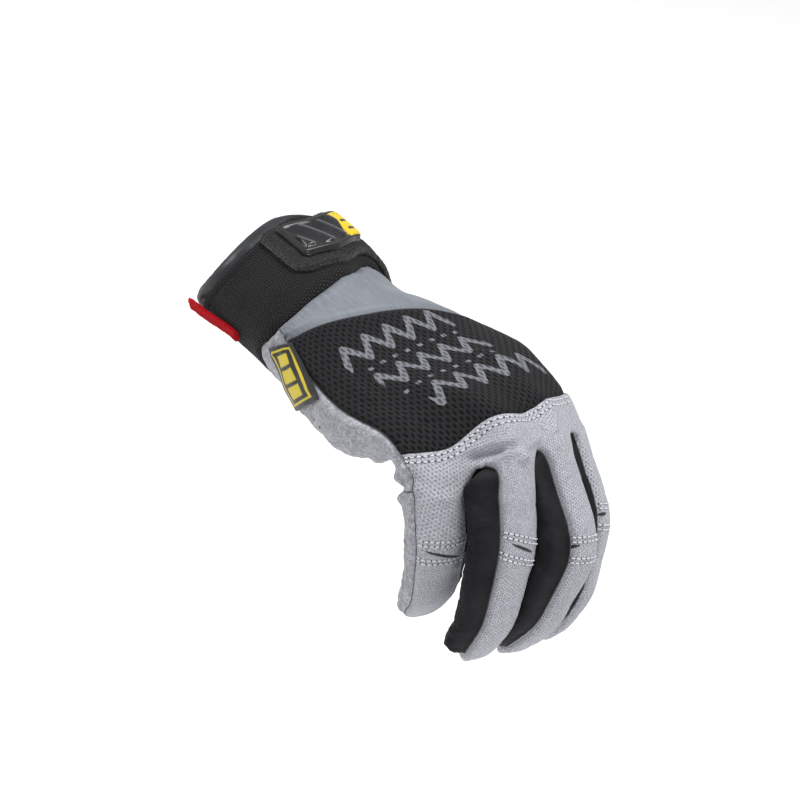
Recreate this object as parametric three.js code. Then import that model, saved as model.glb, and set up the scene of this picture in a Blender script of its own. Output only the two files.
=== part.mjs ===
// Mechanic's glove for the right hand, with the fingers curled as on a loose fist. Millimetres.
// +X runs along the hand to the knuckles, +Y to the thumb side, +Z out of the back of the hand.
// The glove's surface is one net of four-sided cells, with rows along the hand and columns round
// it. Each panel is a set of cells, thickened inward to the wall of its cloth.

import * as THREE from 'three';

// Driving sizes
const HAND_WIDTH = 94;
const HAND_LENGTH = 92;
const FINGER_LENGTH = 100;
const FINGER_RADIUS = 10;
const CUFF_LENGTH = 44;
const CUFF_RIM = 5;

// Walls of the cloth, and the gap left along each seam
const LEATHER = 1.4;
const STRETCH = 1.6;
const KNIT = 2.2;
const LINING = 1.2;
const SEAM_GAP = 0.34;

// Gap between the trim and what it lies on
const TRIM_GAP = 0.3;

// Roundness of the ends of the fingers and the thumb, as shares of the finger radius
const FINGER_DOME = 0.1;
const THUMB_DOME = 0.12;

// Half width of the cells on the thumb's round end, as a share of its last radius
const THUMB_END = 0.7;

// Bend of the wrist, and the stretch of hand that it is spread over
const WRIST_YAW = -14;
const WRIST_PITCH = 4.7;
const WRIST_START = 0.24 * HAND_LENGTH;
const WRIST_END = -0.24 * HAND_LENGTH;

// Cells across the back of a finger, and down its side
const ACROSS = 4;
const DOWN = 4;

// Angle of a back panel's edge above the side, on a finger and on the hand
const FINGER_EDGE = 28;
const HAND_EDGE = 18;
const FINGER_SQUARE = 0.84;
const HAND_SQUARE = 0.9;

// Sections of the hand: at is a share of the hand's length, the others of its width
const SECTIONS = [
  { at: -0.65, half: 0.36, above: 0.27, below: 0.235, side: 0.01, rise: 0.015 },
  { at: -0.33, half: 0.345, above: 0.262, below: 0.24, side: 0.01, rise: 0.015 },
  { at: -0.04, half: 0.33, above: 0.262, below: 0.3, side: 0, rise: 0.012 },
  { at: 0.22, half: 0.422, above: 0.222, below: 0.295, side: 0, rise: -0.023 },
  { at: 0.49, half: 0.514, above: 0.172, below: 0.262, side: 0, rise: -0.026 },
  { at: 0.76, half: 0.538, above: 0.194, below: 0.233, side: -0.011, rise: 0.018 },
  { at: 1.03, half: 0.5, above: 0.149, below: 0.17, side: -0.021, rise: 0 },
];

// Rows of the hand, as shares of its length: on the back at the little-finger side and the thumb
// side, then on the palm
const HAND_ROWS = [
  { name: 'cuff_edge', backOut: -0.04, backIn: -0.04, palmOut: -0.04, palmIn: -0.04 },
  { name: 'wrist_a', backOut: -0.012, backIn: 0.08, palmOut: 0.08, palmIn: 0.08 },
  { name: 'wrist_b', backOut: 0.008, backIn: 0.215, palmOut: 0.18, palmIn: 0.17 },
  { name: 'mesh_top', backOut: 0.028, backIn: 0.351, palmOut: 0.29, palmIn: 0.28 },
  { name: 'back_a', backOut: 0.22, backIn: 0.46, palmOut: 0.4, palmIn: 0.39 },
  { name: 'back_b', backOut: 0.39, backIn: 0.57, palmOut: 0.51, palmIn: 0.5 },
  { name: 'back_c', backOut: 0.55, backIn: 0.67, palmOut: 0.62, palmIn: 0.6 },
];

// Rows that follow the knuckles, as shares of the finger length past each knuckle
const KNUCKLE_ROWS = [
  { name: 'back_d', back: -0.11, palm: -0.14 },
  { name: 'knuckle_seam', back: 0.055, palm: -0.04 },
  { name: 'knuckle_a', back: 0.084, palm: 0.03 },
  { name: 'knuckle_b', back: 0.113, palm: 0.095 },
  { name: 'crotch', back: 0.141, palm: 0.16 },
];

// Fingers: the knuckle as shares of the hand's length and width, turn about the finger's own
// axis, spread, bends of the three joints in degrees, lengths of the three bones as shares of the
// finger length, half width and half height as shares of the finger radius, fullness of the front
// towards the little-finger and thumb sides, and sway sideways at the tip
const FINGERS = [
  {
    name: 'little', along: 0.843, across: -0.378, rise: 0.08, turn: 3.5, spread: -18.6,
    bends: [78, 16, 22], bones: [0.37, 0.22, 0.2], half: 1.2, high: 0.88,
    fullOut: 0, fullIn: 0.3, sway: 0,
  },
  {
    name: 'ring', along: 0.967, across: -0.114, rise: 0.162, turn: -12.2, spread: -8.6,
    bends: [64.6, 20, 22], bones: [0.46, 0.28, 0.22], half: 1.01, high: 1.03,
    fullOut: 0.24, fullIn: 0, sway: -0.1,
  },
  {
    name: 'middle', along: 0.963, across: 0.076, rise: 0.079, turn: -19.7, spread: 6.3,
    bends: [47.6, 48.6, 22], bones: [0.5, 0.3, 0.22], half: 0.95, high: 1.07,
    fullOut: 0, fullIn: 0, sway: 0.25,
  },
  {
    name: 'index', along: 0.883, across: 0.294, rise: 0.01, turn: -33, spread: 16.3,
    bends: [43.7, 31.7, 22], bones: [0.46, 0.27, 0.22], half: 0.99, high: 0.94,
    fullOut: 0, fullIn: 0, sway: 1,
  },
];

const BEND_LENGTHS = [3.2 * FINGER_RADIUS, 1.5 * FINGER_RADIUS, 1.3 * FINGER_RADIUS];

// Size along a finger: at counts knuckle 0, middle joint 1, end joint 2, tip 3
const FINGER_PROFILE = [
  { at: -0.3, half: 1.1, above: 1.25, below: 1.5 },
  { at: 0, half: 1.1, above: 1.28, below: 1.35 },
  { at: 0.35, half: 1, above: 1.08, below: 1.1 },
  { at: 1, half: 1, above: 1.02, below: 0.92 },
  { at: 1.5, half: 0.95, above: 0.9, below: 0.95 },
  { at: 2, half: 0.92, above: 0.88, below: 0.85 },
  { at: 2.6, half: 0.84, above: 0.74, below: 0.78 },
  { at: 3, half: 0.6, above: 0.48, below: 0.48 },
];

// Rows of a finger past the crotch: shares of the first bone, then of the second and third
const FIRST_BONE_ROWS = [0.12, 0.34, 0.58, 0.8, 1];
const SECOND_BONE_ROWS = [0.25, 0.6, 0.95];
const THIRD_BONE_ROWS = [0.25, 0.55, 0.8];

// Thumb: the rows and columns of the hand that its hole lies between, and its rings along a bent
// middle line, as shares of the hand's length and width and of the finger radius
const HOLE_ROWS = { first: 2, last: 6 };
const HOLE_COLUMNS = { first: 4 * ACROSS + 1, last: 4 * ACROSS + 7 };
const THUMB_RINGS = [
  { along: 0.43, across: 0.545, rise: -0.19, radius: 1.38 },
  { along: 0.5, across: 0.57, rise: -0.3, radius: 1.27 },
  { along: 0.585, across: 0.565, rise: -0.4, radius: 1.18 },
  { along: 0.68, across: 0.545, rise: -0.5, radius: 1.14 },
  { along: 0.78, across: 0.515, rise: -0.59, radius: 1.1 },
  { along: 0.88, across: 0.48, rise: -0.68, radius: 1.04 },
  { along: 0.95, across: 0.45, rise: -0.73, radius: 0.95 },
  { along: 0.99, across: 0.43, rise: -0.76, radius: 0.72 },
];

const TAU = 2 * Math.PI;
const radians = (degrees) => degrees * Math.PI / 180;
const vec = (x, y, z) => new THREE.Vector3(x, y, z);
const lerp = THREE.MathUtils.lerp;

function smooth(t) {
  const s = Math.min(Math.max(t, 0), 1);
  return s * s * (3 - 2 * s);
}

// Value of a column of a table at a place along its at column
function read(table, column, at) {
  if (at <= table[0].at) return table[0][column];
  for (let i = 1; i < table.length; i++) {
    const a = table[i - 1];
    const b = table[i];
    if (at <= b.at) return lerp(a[column], b[column], (at - a.at) / (b.at - a.at));
  }
  return table[table.length - 1][column];
}

// Point of a rounded square with half size 1
function roundedSquare(angle, power) {
  const c = Math.cos(angle);
  const s = Math.sin(angle);
  return [Math.sign(c) * Math.abs(c) ** power, Math.sign(s) * Math.abs(s) ** power];
}

// The wrist's middle line bends between WRIST_START and WRIST_END
function wristAxes(x) {
  const share = Math.min(Math.max((WRIST_START - x) / (WRIST_START - WRIST_END), 0), 1);
  const yaw = radians(WRIST_YAW) * share;
  const pitch = radians(WRIST_PITCH) * share;
  const along = vec(Math.cos(yaw) * Math.cos(pitch), Math.sin(yaw) * Math.cos(pitch), Math.sin(pitch));
  const side = vec(-Math.sin(yaw), Math.cos(yaw), 0);
  return { along, side, up: along.clone().cross(side) };
}

function wristFrame(x) {
  if (x >= WRIST_START) return { centre: vec(x, 0, 0), ...wristAxes(x) };
  const steps = Math.ceil((WRIST_START - x) / 0.5);
  const step = (WRIST_START - x) / steps;
  const centre = vec(WRIST_START, 0, 0);
  for (let i = 0; i < steps; i++) {
    centre.addScaledVector(wristAxes(WRIST_START - (i + 0.5) * step).along, -step);
  }
  return { centre, ...wristAxes(x) };
}

// Point of the hand or cuff at x and at an angle round it, grown outward
function handPoint(x, angle, grow = 0) {
  const at = x / HAND_LENGTH;
  const half = read(SECTIONS, 'half', at) * HAND_WIDTH + grow;
  const [c, s] = roundedSquare(angle, HAND_SQUARE);
  const high = read(SECTIONS, s > 0 ? 'above' : 'below', at) * HAND_WIDTH + grow;
  const { centre, side, up } = wristFrame(x);
  return centre
    .addScaledVector(side, half * c + read(SECTIONS, 'side', at) * HAND_WIDTH)
    .addScaledVector(up, high * s + read(SECTIONS, 'rise', at) * HAND_WIDTH);
}

// A finger's bent middle line and its sections
function makeFinger(row) {
  const turn = radians(row.turn);
  const spread = radians(row.spread);
  const back = vec(0, -Math.sin(turn), Math.cos(turn));
  const flatSide = vec(0, Math.cos(turn), Math.sin(turn));
  const ahead = vec(1, 0, 0).multiplyScalar(Math.cos(spread)).addScaledVector(flatSide, Math.sin(spread));
  const side = vec(1, 0, 0).multiplyScalar(-Math.sin(spread)).addScaledVector(flatSide, Math.cos(spread));
  const knuckle = vec(row.along * HAND_LENGTH, row.across * HAND_WIDTH, row.rise * HAND_WIDTH);
  const joints = [0];
  row.bones.forEach((bone, i) => joints.push(joints[i] + bone * FINGER_LENGTH));
  const low = -BEND_LENGTHS[0];

  function bend(l) {
    let total = 0;
    row.bends.forEach((b, i) => {
      total += radians(b) * Math.min(Math.max((l - joints[i]) / BEND_LENGTHS[i] + 0.5, 0), 1);
    });
    return total;
  }

  function direction(l) {
    return ahead.clone().multiplyScalar(Math.cos(bend(l))).addScaledVector(back, -Math.sin(bend(l)));
  }

  function frame(l) {
    const centre = knuckle.clone().addScaledVector(ahead, Math.min(l, low));
    const steps = Math.max(Math.ceil((l - low) / 0.5), 1);
    const step = Math.max(l - low, 0) / steps;
    for (let i = 0; i < steps; i++) centre.addScaledVector(direction(low + (i + 0.5) * step), step);
    const up = ahead.clone().multiplyScalar(Math.sin(bend(l))).addScaledVector(back, Math.cos(bend(l)));
    const away = row.sway * FINGER_RADIUS * smooth((l / joints[1] - 0.4) / 1.6);
    return { centre: centre.addScaledVector(side, away), along: direction(l), side, up };
  }

  // Joint count at a length: 0 at the knuckle, 1 at the middle joint, 3 at the tip
  function count(l) {
    if (l < 0) return l / joints[1];
    for (let i = 1; i < joints.length; i++) {
      if (l <= joints[i]) return i - 1 + (l - joints[i - 1]) / (joints[i] - joints[i - 1]);
    }
    return 3;
  }

  function size(l) {
    const at = count(l);
    return {
      half: read(FINGER_PROFILE, 'half', at) * row.half * FINGER_RADIUS,
      above: read(FINGER_PROFILE, 'above', at) * row.high * FINGER_RADIUS,
      below: read(FINGER_PROFILE, 'below', at) * row.high * FINGER_RADIUS,
    };
  }

  function point(l, angle) {
    const { centre, up } = frame(l);
    const { half, above, below } = size(l);
    const [c, s] = roundedSquare(angle, FINGER_SQUARE);
    const full = (c > 0 ? row.fullIn : row.fullOut) * smooth(-s) * smooth(2 * l / joints[1] - 0.6);
    const wide = half * (1 + full);
    return centre.addScaledVector(side, wide * c).addScaledVector(up, (s > 0 ? above : below) * s);
  }

  return { name: row.name, knuckle, joints, frame, size, point };
}

const fingers = FINGERS.map(makeFinger);

// The net: its points by name, and its cells with the panel that each belongs to
const net = { points: [], index: new Map(), cells: [] };

function addPoint(key, point) {
  net.index.set(key, net.points.length);
  net.points.push(point);
}

function pointOf(key) {
  return net.points[net.index.get(key)];
}

function addCell(keys, panel) {
  net.cells.push({ corners: keys.map((key) => net.index.get(key)), panel });
}

// Columns round the hand: back, thumb side, palm, little-finger side
const WIDE = 4 * ACROSS;

function makeColumns() {
  const columns = [];
  for (let i = 0; i <= WIDE; i++) columns.push({ part: 'back', i });
  for (let i = 1; i < DOWN; i++) columns.push({ part: 'in', i });
  for (let i = WIDE; i >= 0; i--) columns.push({ part: 'palm', i });
  for (let i = DOWN - 1; i > 0; i--) columns.push({ part: 'out', i });
  return columns;
}

const columns = makeColumns();
const handKey = (row, column) => [row, column.part, column.i].join(' ');

// How far a column lies across the hand, and how far it has gone round from back to palm
function placeOf({ part, i }) {
  if (part === 'back') return { across: i / WIDE, round: 0 };
  if (part === 'palm') return { across: i / WIDE, round: 1 };
  return { across: part === 'in' ? 1 : 0, round: i / DOWN };
}

// Knuckle line across the hand: the outer halves of the little and index fingers run back from it
const LITTLE_SLOPE = 0.04 * FINGER_LENGTH;
const INDEX_SLOPE = -0.02 * FINGER_LENGTH;

function knuckleX(across) {
  const at = across * 4 - 0.5;
  const x = fingers.map((finger) => finger.knuckle.x);
  if (at <= 0) return x[0] + at * LITTLE_SLOPE;
  if (at >= 3) return x[3] + (at - 3) * INDEX_SLOPE;
  const i = Math.floor(at);
  return lerp(x[i], x[i + 1], at - i);
}

function rowX(row, column) {
  const { across, round } = placeOf(column);
  if (row < HAND_ROWS.length) {
    const { backOut, backIn, palmOut, palmIn } = HAND_ROWS[row];
    return HAND_LENGTH * lerp(lerp(backOut, backIn, across), lerp(palmOut, palmIn, across), round);
  }
  const { back, palm } = KNUCKLE_ROWS[row - HAND_ROWS.length];
  return knuckleX(across) + FINGER_LENGTH * lerp(back, palm, round);
}

// Angle of a column on the hand's section, and on the one or two fingers that it runs on to
function anglesOf({ part, i }) {
  const reach = 180 - 2 * HAND_EDGE;
  const wide = 180 - 2 * FINGER_EDGE;
  if (part === 'in') {
    return {
      hand: HAND_EDGE * (1 - 2 * i / DOWN),
      on: [{ finger: 3, angle: FINGER_EDGE * (1 - 2 * i / DOWN) }],
    };
  }
  if (part === 'out') {
    return {
      hand: 180 - HAND_EDGE * (1 - 2 * i / DOWN),
      on: [{ finger: 0, angle: 180 - FINGER_EDGE * (1 - 2 * i / DOWN) }],
    };
  }
  const sign = part === 'back' ? 1 : -1;
  const hand = sign * (180 - HAND_EDGE - reach * i / WIDE);
  const k = Math.floor(i / ACROSS);
  if (i % ACROSS === 0 && k > 0 && k < 4) {
    return {
      hand,
      on: [
        { finger: k - 1, angle: sign * FINGER_EDGE },
        { finger: k, angle: sign * (180 - FINGER_EDGE) },
      ],
    };
  }
  const finger = Math.min(k, 3);
  return { hand, on: [{ finger, angle: sign * (180 - FINGER_EDGE - wide * (i / ACROSS - finger)) }] };
}

// The hand's section runs smoothly into the fingers' sections over this stretch
const MIX_START = -0.3 * FINGER_LENGTH;
const MIX_END = -0.03 * FINGER_LENGTH;

function handVertex(row, column) {
  const x = rowX(row, column);
  const { hand, on } = anglesOf(column);
  const point = handPoint(x, radians(hand));
  const lengths = on.map(({ finger }) => x - fingers[finger].knuckle.x);
  const mean = lengths.reduce((a, b) => a + b) / lengths.length;
  const share = smooth((mean - MIX_START) / (MIX_END - MIX_START));
  if (share === 0) return point;
  const target = vec(0, 0, 0);
  on.forEach(({ finger, angle }, i) => {
    target.addScaledVector(fingers[finger].point(lengths[i], radians(angle)), 1 / on.length);
  });
  return point.lerp(target, share);
}

const rowNames = [...HAND_ROWS, ...KNUCKLE_ROWS].map((row) => row.name);
const LAST = rowNames.length - 1;
const MESH_ROW = rowNames.indexOf('mesh_top');
const SEAM_ROW = rowNames.indexOf('knuckle_seam');

function backPanel(row) {
  if (row < MESH_ROW) return 'wrist_panel';
  return row < SEAM_ROW ? 'back_panel' : 'knuckle_panel';
}

const between = (value, { first, last }) => value > first && value < last;
const fromTo = (value, { first, last }) => value >= first && value < last;

function makeHand() {
  for (let row = 0; row <= LAST; row++) {
    columns.forEach((column, i) => {
      if (between(row, HOLE_ROWS) && between(i, HOLE_COLUMNS)) return;
      addPoint(handKey(row, column), handVertex(row, column));
    });
  }
  for (let row = 0; row < LAST; row++) {
    columns.forEach((column, i) => {
      if (fromTo(row, HOLE_ROWS) && fromTo(i, HOLE_COLUMNS)) return;
      const next = columns[(i + 1) % columns.length];
      const onBack = column.part === 'back' && next.part === 'back';
      addCell(
        [handKey(row, column), handKey(row + 1, column), handKey(row + 1, next), handKey(row, next)],
        onBack ? backPanel(row) : 'palm_panel',
      );
    });
  }
}

// Evens out the hand where its section runs into the fingers: each turn moves a point by a share of
// the way to the mean of its four neighbours
const EVEN_FROM = 5;
const EVEN_TURNS = 3;
const EVEN_SHARE = 0.5;

function evenHand() {
  for (let turn = 0; turn < EVEN_TURNS; turn++) {
    const moved = [];
    for (let row = EVEN_FROM; row < LAST; row++) {
      columns.forEach((column, i) => {
        const next = columns[(i + 1) % columns.length];
        const before = columns[(i + columns.length - 1) % columns.length];
        const keys = [
          handKey(row - 1, column), handKey(row + 1, column), handKey(row, next), handKey(row, before),
        ];
        if (![handKey(row, column), ...keys].every((key) => net.index.has(key))) return;
        const mean = keys.reduce((sum, key) => sum.add(pointOf(key)), vec(0, 0, 0)).multiplyScalar(0.25);
        moved.push([handKey(row, column), pointOf(handKey(row, column)).clone().lerp(mean, EVEN_SHARE)]);
      });
    }
    for (const [key, point] of moved) pointOf(key).copy(point);
  }
}

const webKey = (k, i) => ['web', k, i].join(' ');

function makeWebs() {
  for (let k = 0; k < 3; k++) {
    const top = pointOf(handKey(LAST, { part: 'back', i: (k + 1) * ACROSS }));
    const bottom = pointOf(handKey(LAST, { part: 'palm', i: (k + 1) * ACROSS }));
    for (let i = 1; i < DOWN; i++) addPoint(webKey(k, i), top.clone().lerp(bottom, i / DOWN));
  }
}

// The first ring of a finger: back, thumb side, front, little-finger side
function firstRing(k) {
  const keys = [];
  for (let i = 0; i <= ACROSS; i++) keys.push(handKey(LAST, { part: 'back', i: k * ACROSS + i }));
  for (let i = 1; i < DOWN; i++) keys.push(k === 3 ? handKey(LAST, { part: 'in', i }) : webKey(k, i));
  for (let i = ACROSS; i >= 0; i--) keys.push(handKey(LAST, { part: 'palm', i: k * ACROSS + i }));
  for (let i = DOWN - 1; i > 0; i--) {
    keys.push(k === 0 ? handKey(LAST, { part: 'out', i }) : webKey(k - 1, i));
  }
  return keys;
}

// Angles of a ring's points, with the share of the way from back to front
function ringAngles() {
  const wide = 180 - 2 * FINGER_EDGE;
  const list = [];
  for (let i = 0; i <= ACROSS; i++) list.push({ angle: 180 - FINGER_EDGE - wide * i / ACROSS, round: 0 });
  for (let i = 1; i < DOWN; i++) {
    list.push({ angle: FINGER_EDGE * (1 - 2 * i / DOWN), round: i / DOWN });
  }
  for (let i = 0; i <= ACROSS; i++) list.push({ angle: -FINGER_EDGE - wide * i / ACROSS, round: 1 });
  for (let i = 1; i < DOWN; i++) {
    list.push({ angle: 180 + FINGER_EDGE * (1 - 2 * i / DOWN), round: 1 - i / DOWN });
  }
  return list;
}

const ring = ringAngles();

function fingerPanel(k, i, pastMiddle) {
  const name = fingers[k].name;
  if (i < ACROSS) return pastMiddle ? 'finger_back_' + name : 'knuckle_panel';
  if (i < ACROSS + DOWN) return k === 3 ? 'finger_front_index' : 'fourchette_' + (k + 1);
  if (i < 2 * ACROSS + DOWN) return 'finger_front_' + name;
  return k === 0 ? 'finger_front_little' : 'fourchette_' + k;
}

function fingerRows(finger) {
  const [, middle, end, tip] = finger.joints;
  const start = KNUCKLE_ROWS[KNUCKLE_ROWS.length - 1];
  const rows = FIRST_BONE_ROWS.map((share) => ({
    back: lerp(start.back * FINGER_LENGTH, middle, share),
    front: lerp(start.palm * FINGER_LENGTH, middle, share),
    pastMiddle: false,
  }));
  for (const share of SECOND_BONE_ROWS) {
    const at = lerp(middle, end, share);
    rows.push({ back: at, front: at, pastMiddle: true });
  }
  for (const share of THIRD_BONE_ROWS) {
    const at = lerp(end, tip, share);
    rows.push({ back: at, front: at, pastMiddle: true });
  }
  return rows;
}

// Height of a rounded end over its cells, from 1 in the middle to a third at the corners
const dome = (x, y) => 1 - (x * x + y * y) / 3;

// A tube's rounded end: a grid of cells across the last ring, wide by deep
function addTip(name, last, wide, deep, middle, panelOf) {
  const keys = [];
  for (let u = 0; u <= wide; u++) {
    keys.push([]);
    for (let v = 0; v <= deep; v++) {
      let key = ['tip', name, u, v].join(' ');
      if (v === 0) key = last[u];
      else if (v === deep) key = last[2 * wide + deep - u];
      else if (u === wide) key = last[wide + v];
      else if (u === 0) key = last[last.length - v];
      else addPoint(key, middle(2 * u / wide - 1, 1 - 2 * v / deep));
      keys[u].push(key);
    }
  }
  for (let u = 0; u < wide; u++) {
    for (let v = 0; v < deep; v++) {
      addCell([keys[u][v], keys[u][v + 1], keys[u + 1][v + 1], keys[u + 1][v]], panelOf(v));
    }
  }
}

function makeFingerTube(k) {
  const finger = fingers[k];
  let last = firstRing(k);
  fingerRows(finger).forEach((row, r) => {
    const keys = ring.map(({ angle, round }, i) => {
      const key = ['finger', k, r, i].join(' ');
      addPoint(key, finger.point(lerp(row.back, row.front, round), radians(angle)));
      return key;
    });
    keys.forEach((key, i) => {
      const next = (i + 1) % keys.length;
      addCell([last[i], key, keys[next], last[next]], fingerPanel(k, i, row.pastMiddle));
    });
    last = keys;
  });
  const tip = finger.joints[3];
  const { centre, along, side, up } = finger.frame(tip);
  const { half, above, below } = finger.size(tip);
  const middle = (x, y) => centre.clone()
    .addScaledVector(side, x * half)
    .addScaledVector(up, y * (above + below) / 2)
    .addScaledVector(along, FINGER_DOME * FINGER_RADIUS * dome(x, y));
  const panelOf = (v) => (v < DOWN / 2 ? 'finger_back_' : 'finger_front_') + finger.name;
  addTip(finger.name, last, ACROSS, DOWN, middle, panelOf);
}

// The thumb hides behind the hand: a plain tube in two panels from the hole in the hand's side
function thumbHole() {
  const keys = [];
  const rows = HOLE_ROWS;
  const cols = HOLE_COLUMNS;
  for (let row = rows.last; row >= rows.first; row--) keys.push(handKey(row, columns[cols.first]));
  for (let i = cols.first + 1; i < cols.last; i++) keys.push(handKey(rows.first, columns[i]));
  for (let row = rows.first; row <= rows.last; row++) keys.push(handKey(row, columns[cols.last]));
  for (let i = cols.last - 1; i > cols.first; i--) keys.push(handKey(rows.last, columns[i]));
  return keys;
}

function makeThumb() {
  const hole = thumbHole();
  const count = hole.length;
  const wide = HOLE_ROWS.last - HOLE_ROWS.first;
  const deep = HOLE_COLUMNS.last - HOLE_COLUMNS.first;
  const top = wide / 2;
  const bottom = top + wide + deep;
  const split = wide + deep / 2;
  const centres = THUMB_RINGS.map(({ along, across, rise }) => (
    vec(along * HAND_LENGTH, across * HAND_WIDTH, rise * HAND_WIDTH)
  ));
  const drop = pointOf(hole[bottom]).clone().sub(pointOf(hole[top]));
  let last = hole;
  let axes = null;
  THUMB_RINGS.forEach((row, r) => {
    const before = centres[Math.max(r - 1, 0)];
    const after = centres[Math.min(r + 1, centres.length - 1)];
    const along = after.clone().sub(before).normalize();
    const down = drop.clone().addScaledVector(along, -drop.dot(along)).normalize();
    const side = along.clone().cross(down);
    const radius = row.radius * FINGER_RADIUS;
    axes = { centre: centres[r], along, side, down, radius };
    const keys = hole.map((_, i) => {
      const angle = TAU * (i - top) / count;
      const point = centres[r].clone()
        .addScaledVector(down, -Math.cos(angle) * radius)
        .addScaledVector(side, Math.sin(angle) * radius);
      const key = ['thumb', r, i].join(' ');
      addPoint(key, point);
      return key;
    });
    keys.forEach((key, i) => {
      const next = (i + 1) % count;
      const onFront = i >= split && i < split + count / 2;
      addCell([last[i], key, keys[next], last[next]], onFront ? 'thumb_front' : 'thumb_back');
    });
    last = keys;
  });
  const inside = THUMB_END * axes.radius;
  const middle = (x, y) => axes.centre.clone()
    .addScaledVector(axes.side, x * inside)
    .addScaledVector(axes.down, -y * inside)
    .addScaledVector(axes.along, THUMB_DOME * FINGER_RADIUS * dome(x, y));
  addTip('thumb', last, wide, deep, middle, (v) => (v < deep / 2 ? 'thumb_back' : 'thumb_front'));
}

makeHand();
evenHand();
makeWebs();
for (let k = 0; k < 4; k++) makeFingerTube(k);
makeThumb();

// Outward normal of each point of the net, shared by the panels that meet there
function netNormals() {
  const normals = net.points.map(() => vec(0, 0, 0));
  for (const { corners } of net.cells) {
    const [a, b, c, d] = corners.map((i) => net.points[i]);
    const normal = c.clone().sub(a).cross(d.clone().sub(b));
    for (const i of corners) normals[i].add(normal);
  }
  return normals.map((n) => n.normalize());
}

const normals = netNormals();

// Inward shift of a panel's edge points, half of the seam gap from each edge that meets there
function edgeShifts(cells) {
  const edges = new Map();
  for (const { corners } of cells) {
    corners.forEach((a, i) => {
      const b = corners[(i + 1) % 4];
      if (!edges.delete(b + ' ' + a)) edges.set(a + ' ' + b, [a, b]);
    });
  }
  const inward = new Map();
  for (const [a, b] of edges.values()) {
    const along = net.points[b].clone().sub(net.points[a]);
    for (const i of [a, b]) {
      if (!inward.has(i)) inward.set(i, []);
      inward.get(i).push(normals[i].clone().cross(along).normalize());
    }
  }
  const shifts = new Map();
  for (const [i, list] of inward) {
    const sum = list.reduce((a, b) => a.clone().add(b));
    const size = Math.max(list.length === 2 ? 1 + list[0].dot(list[1]) : 1, 0.5);
    shifts.set(i, sum.multiplyScalar(0.5 * SEAM_GAP / size));
  }
  return { edges: [...edges.values()], shifts };
}

// Closed solid from lists of points and four-cornered faces, each split along its shorter diagonal
function closedMesh(name, points, faces, material) {
  const index = [];
  for (const face of faces) {
    const [a, b, c, d] = face;
    if (points[a].distanceTo(points[c]) <= points[b].distanceTo(points[d])) {
      index.push(a, b, c, a, c, d);
    } else {
      index.push(a, b, d, b, c, d);
    }
  }
  const geometry = new THREE.BufferGeometry();
  const position = new THREE.Float32BufferAttribute(points.flatMap((p) => p.toArray()), 3);
  geometry.setAttribute('position', position);
  geometry.setIndex(index);
  geometry.computeVertexNormals();
  const mesh = new THREE.Mesh(geometry, material);
  mesh.name = name;
  return mesh;
}

// A panel: its cells, shrunk by half of the seam gap and thickened inward
function makePanel(name, wall, material) {
  const cells = net.cells.filter((cell) => cell.panel === name);
  const { edges, shifts } = edgeShifts(cells);
  const local = new Map();
  const outer = [];
  const inner = [];
  const at = (i) => {
    if (!local.has(i)) {
      const point = net.points[i].clone();
      if (shifts.has(i)) point.add(shifts.get(i));
      local.set(i, outer.length);
      outer.push(point);
      inner.push(point.clone().addScaledVector(normals[i], -wall));
    }
    return local.get(i);
  };
  const out = cells.map(({ corners }) => corners.map(at));
  const count = outer.length;
  const faces = [...out];
  for (const [a, b, c, d] of out) faces.push([a + count, d + count, c + count, b + count]);
  for (const [i, j] of edges) {
    const a = local.get(i);
    const b = local.get(j);
    faces.push([b, a, a + count, b + count]);
  }
  return closedMesh(name, [...outer, ...inner], faces, material);
}

// A sheet over a surface, between two heights; closed ways round join their last column to the first
function makeSheet(name, rows, cols, closed, surface, low, high, material) {
  const points = [];
  const faces = [];
  const layer = rows * cols;
  for (const height of [high, low]) {
    for (let r = 0; r < rows; r++) {
      for (let c = 0; c < cols; c++) points.push(surface(r, c, height));
    }
  }
  const at = (r, c, l) => l * layer + r * cols + (closed ? c % cols : c);
  const wide = closed ? cols : cols - 1;
  for (let c = 0; c < wide; c++) {
    for (let r = 0; r < rows - 1; r++) {
      faces.push([at(r, c, 0), at(r + 1, c, 0), at(r + 1, c + 1, 0), at(r, c + 1, 0)]);
      faces.push([at(r, c, 1), at(r, c + 1, 1), at(r + 1, c + 1, 1), at(r + 1, c, 1)]);
    }
    faces.push([at(0, c, 0), at(0, c + 1, 0), at(0, c + 1, 1), at(0, c, 1)]);
    faces.push([at(rows - 1, c + 1, 0), at(rows - 1, c, 0), at(rows - 1, c, 1), at(rows - 1, c + 1, 1)]);
  }
  if (!closed) {
    for (let r = 0; r < rows - 1; r++) {
      faces.push([at(r + 1, 0, 0), at(r, 0, 0), at(r, 0, 1), at(r + 1, 0, 1)]);
      faces.push([at(r, cols - 1, 0), at(r + 1, cols - 1, 0), at(r + 1, cols - 1, 1), at(r, cols - 1, 1)]);
    }
  }
  return closedMesh(name, points, faces, material);
}

function cloth(colour, roughness) {
  return new THREE.MeshStandardMaterial({ color: colour, roughness, metalness: 0, side: THREE.DoubleSide });
}

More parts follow.
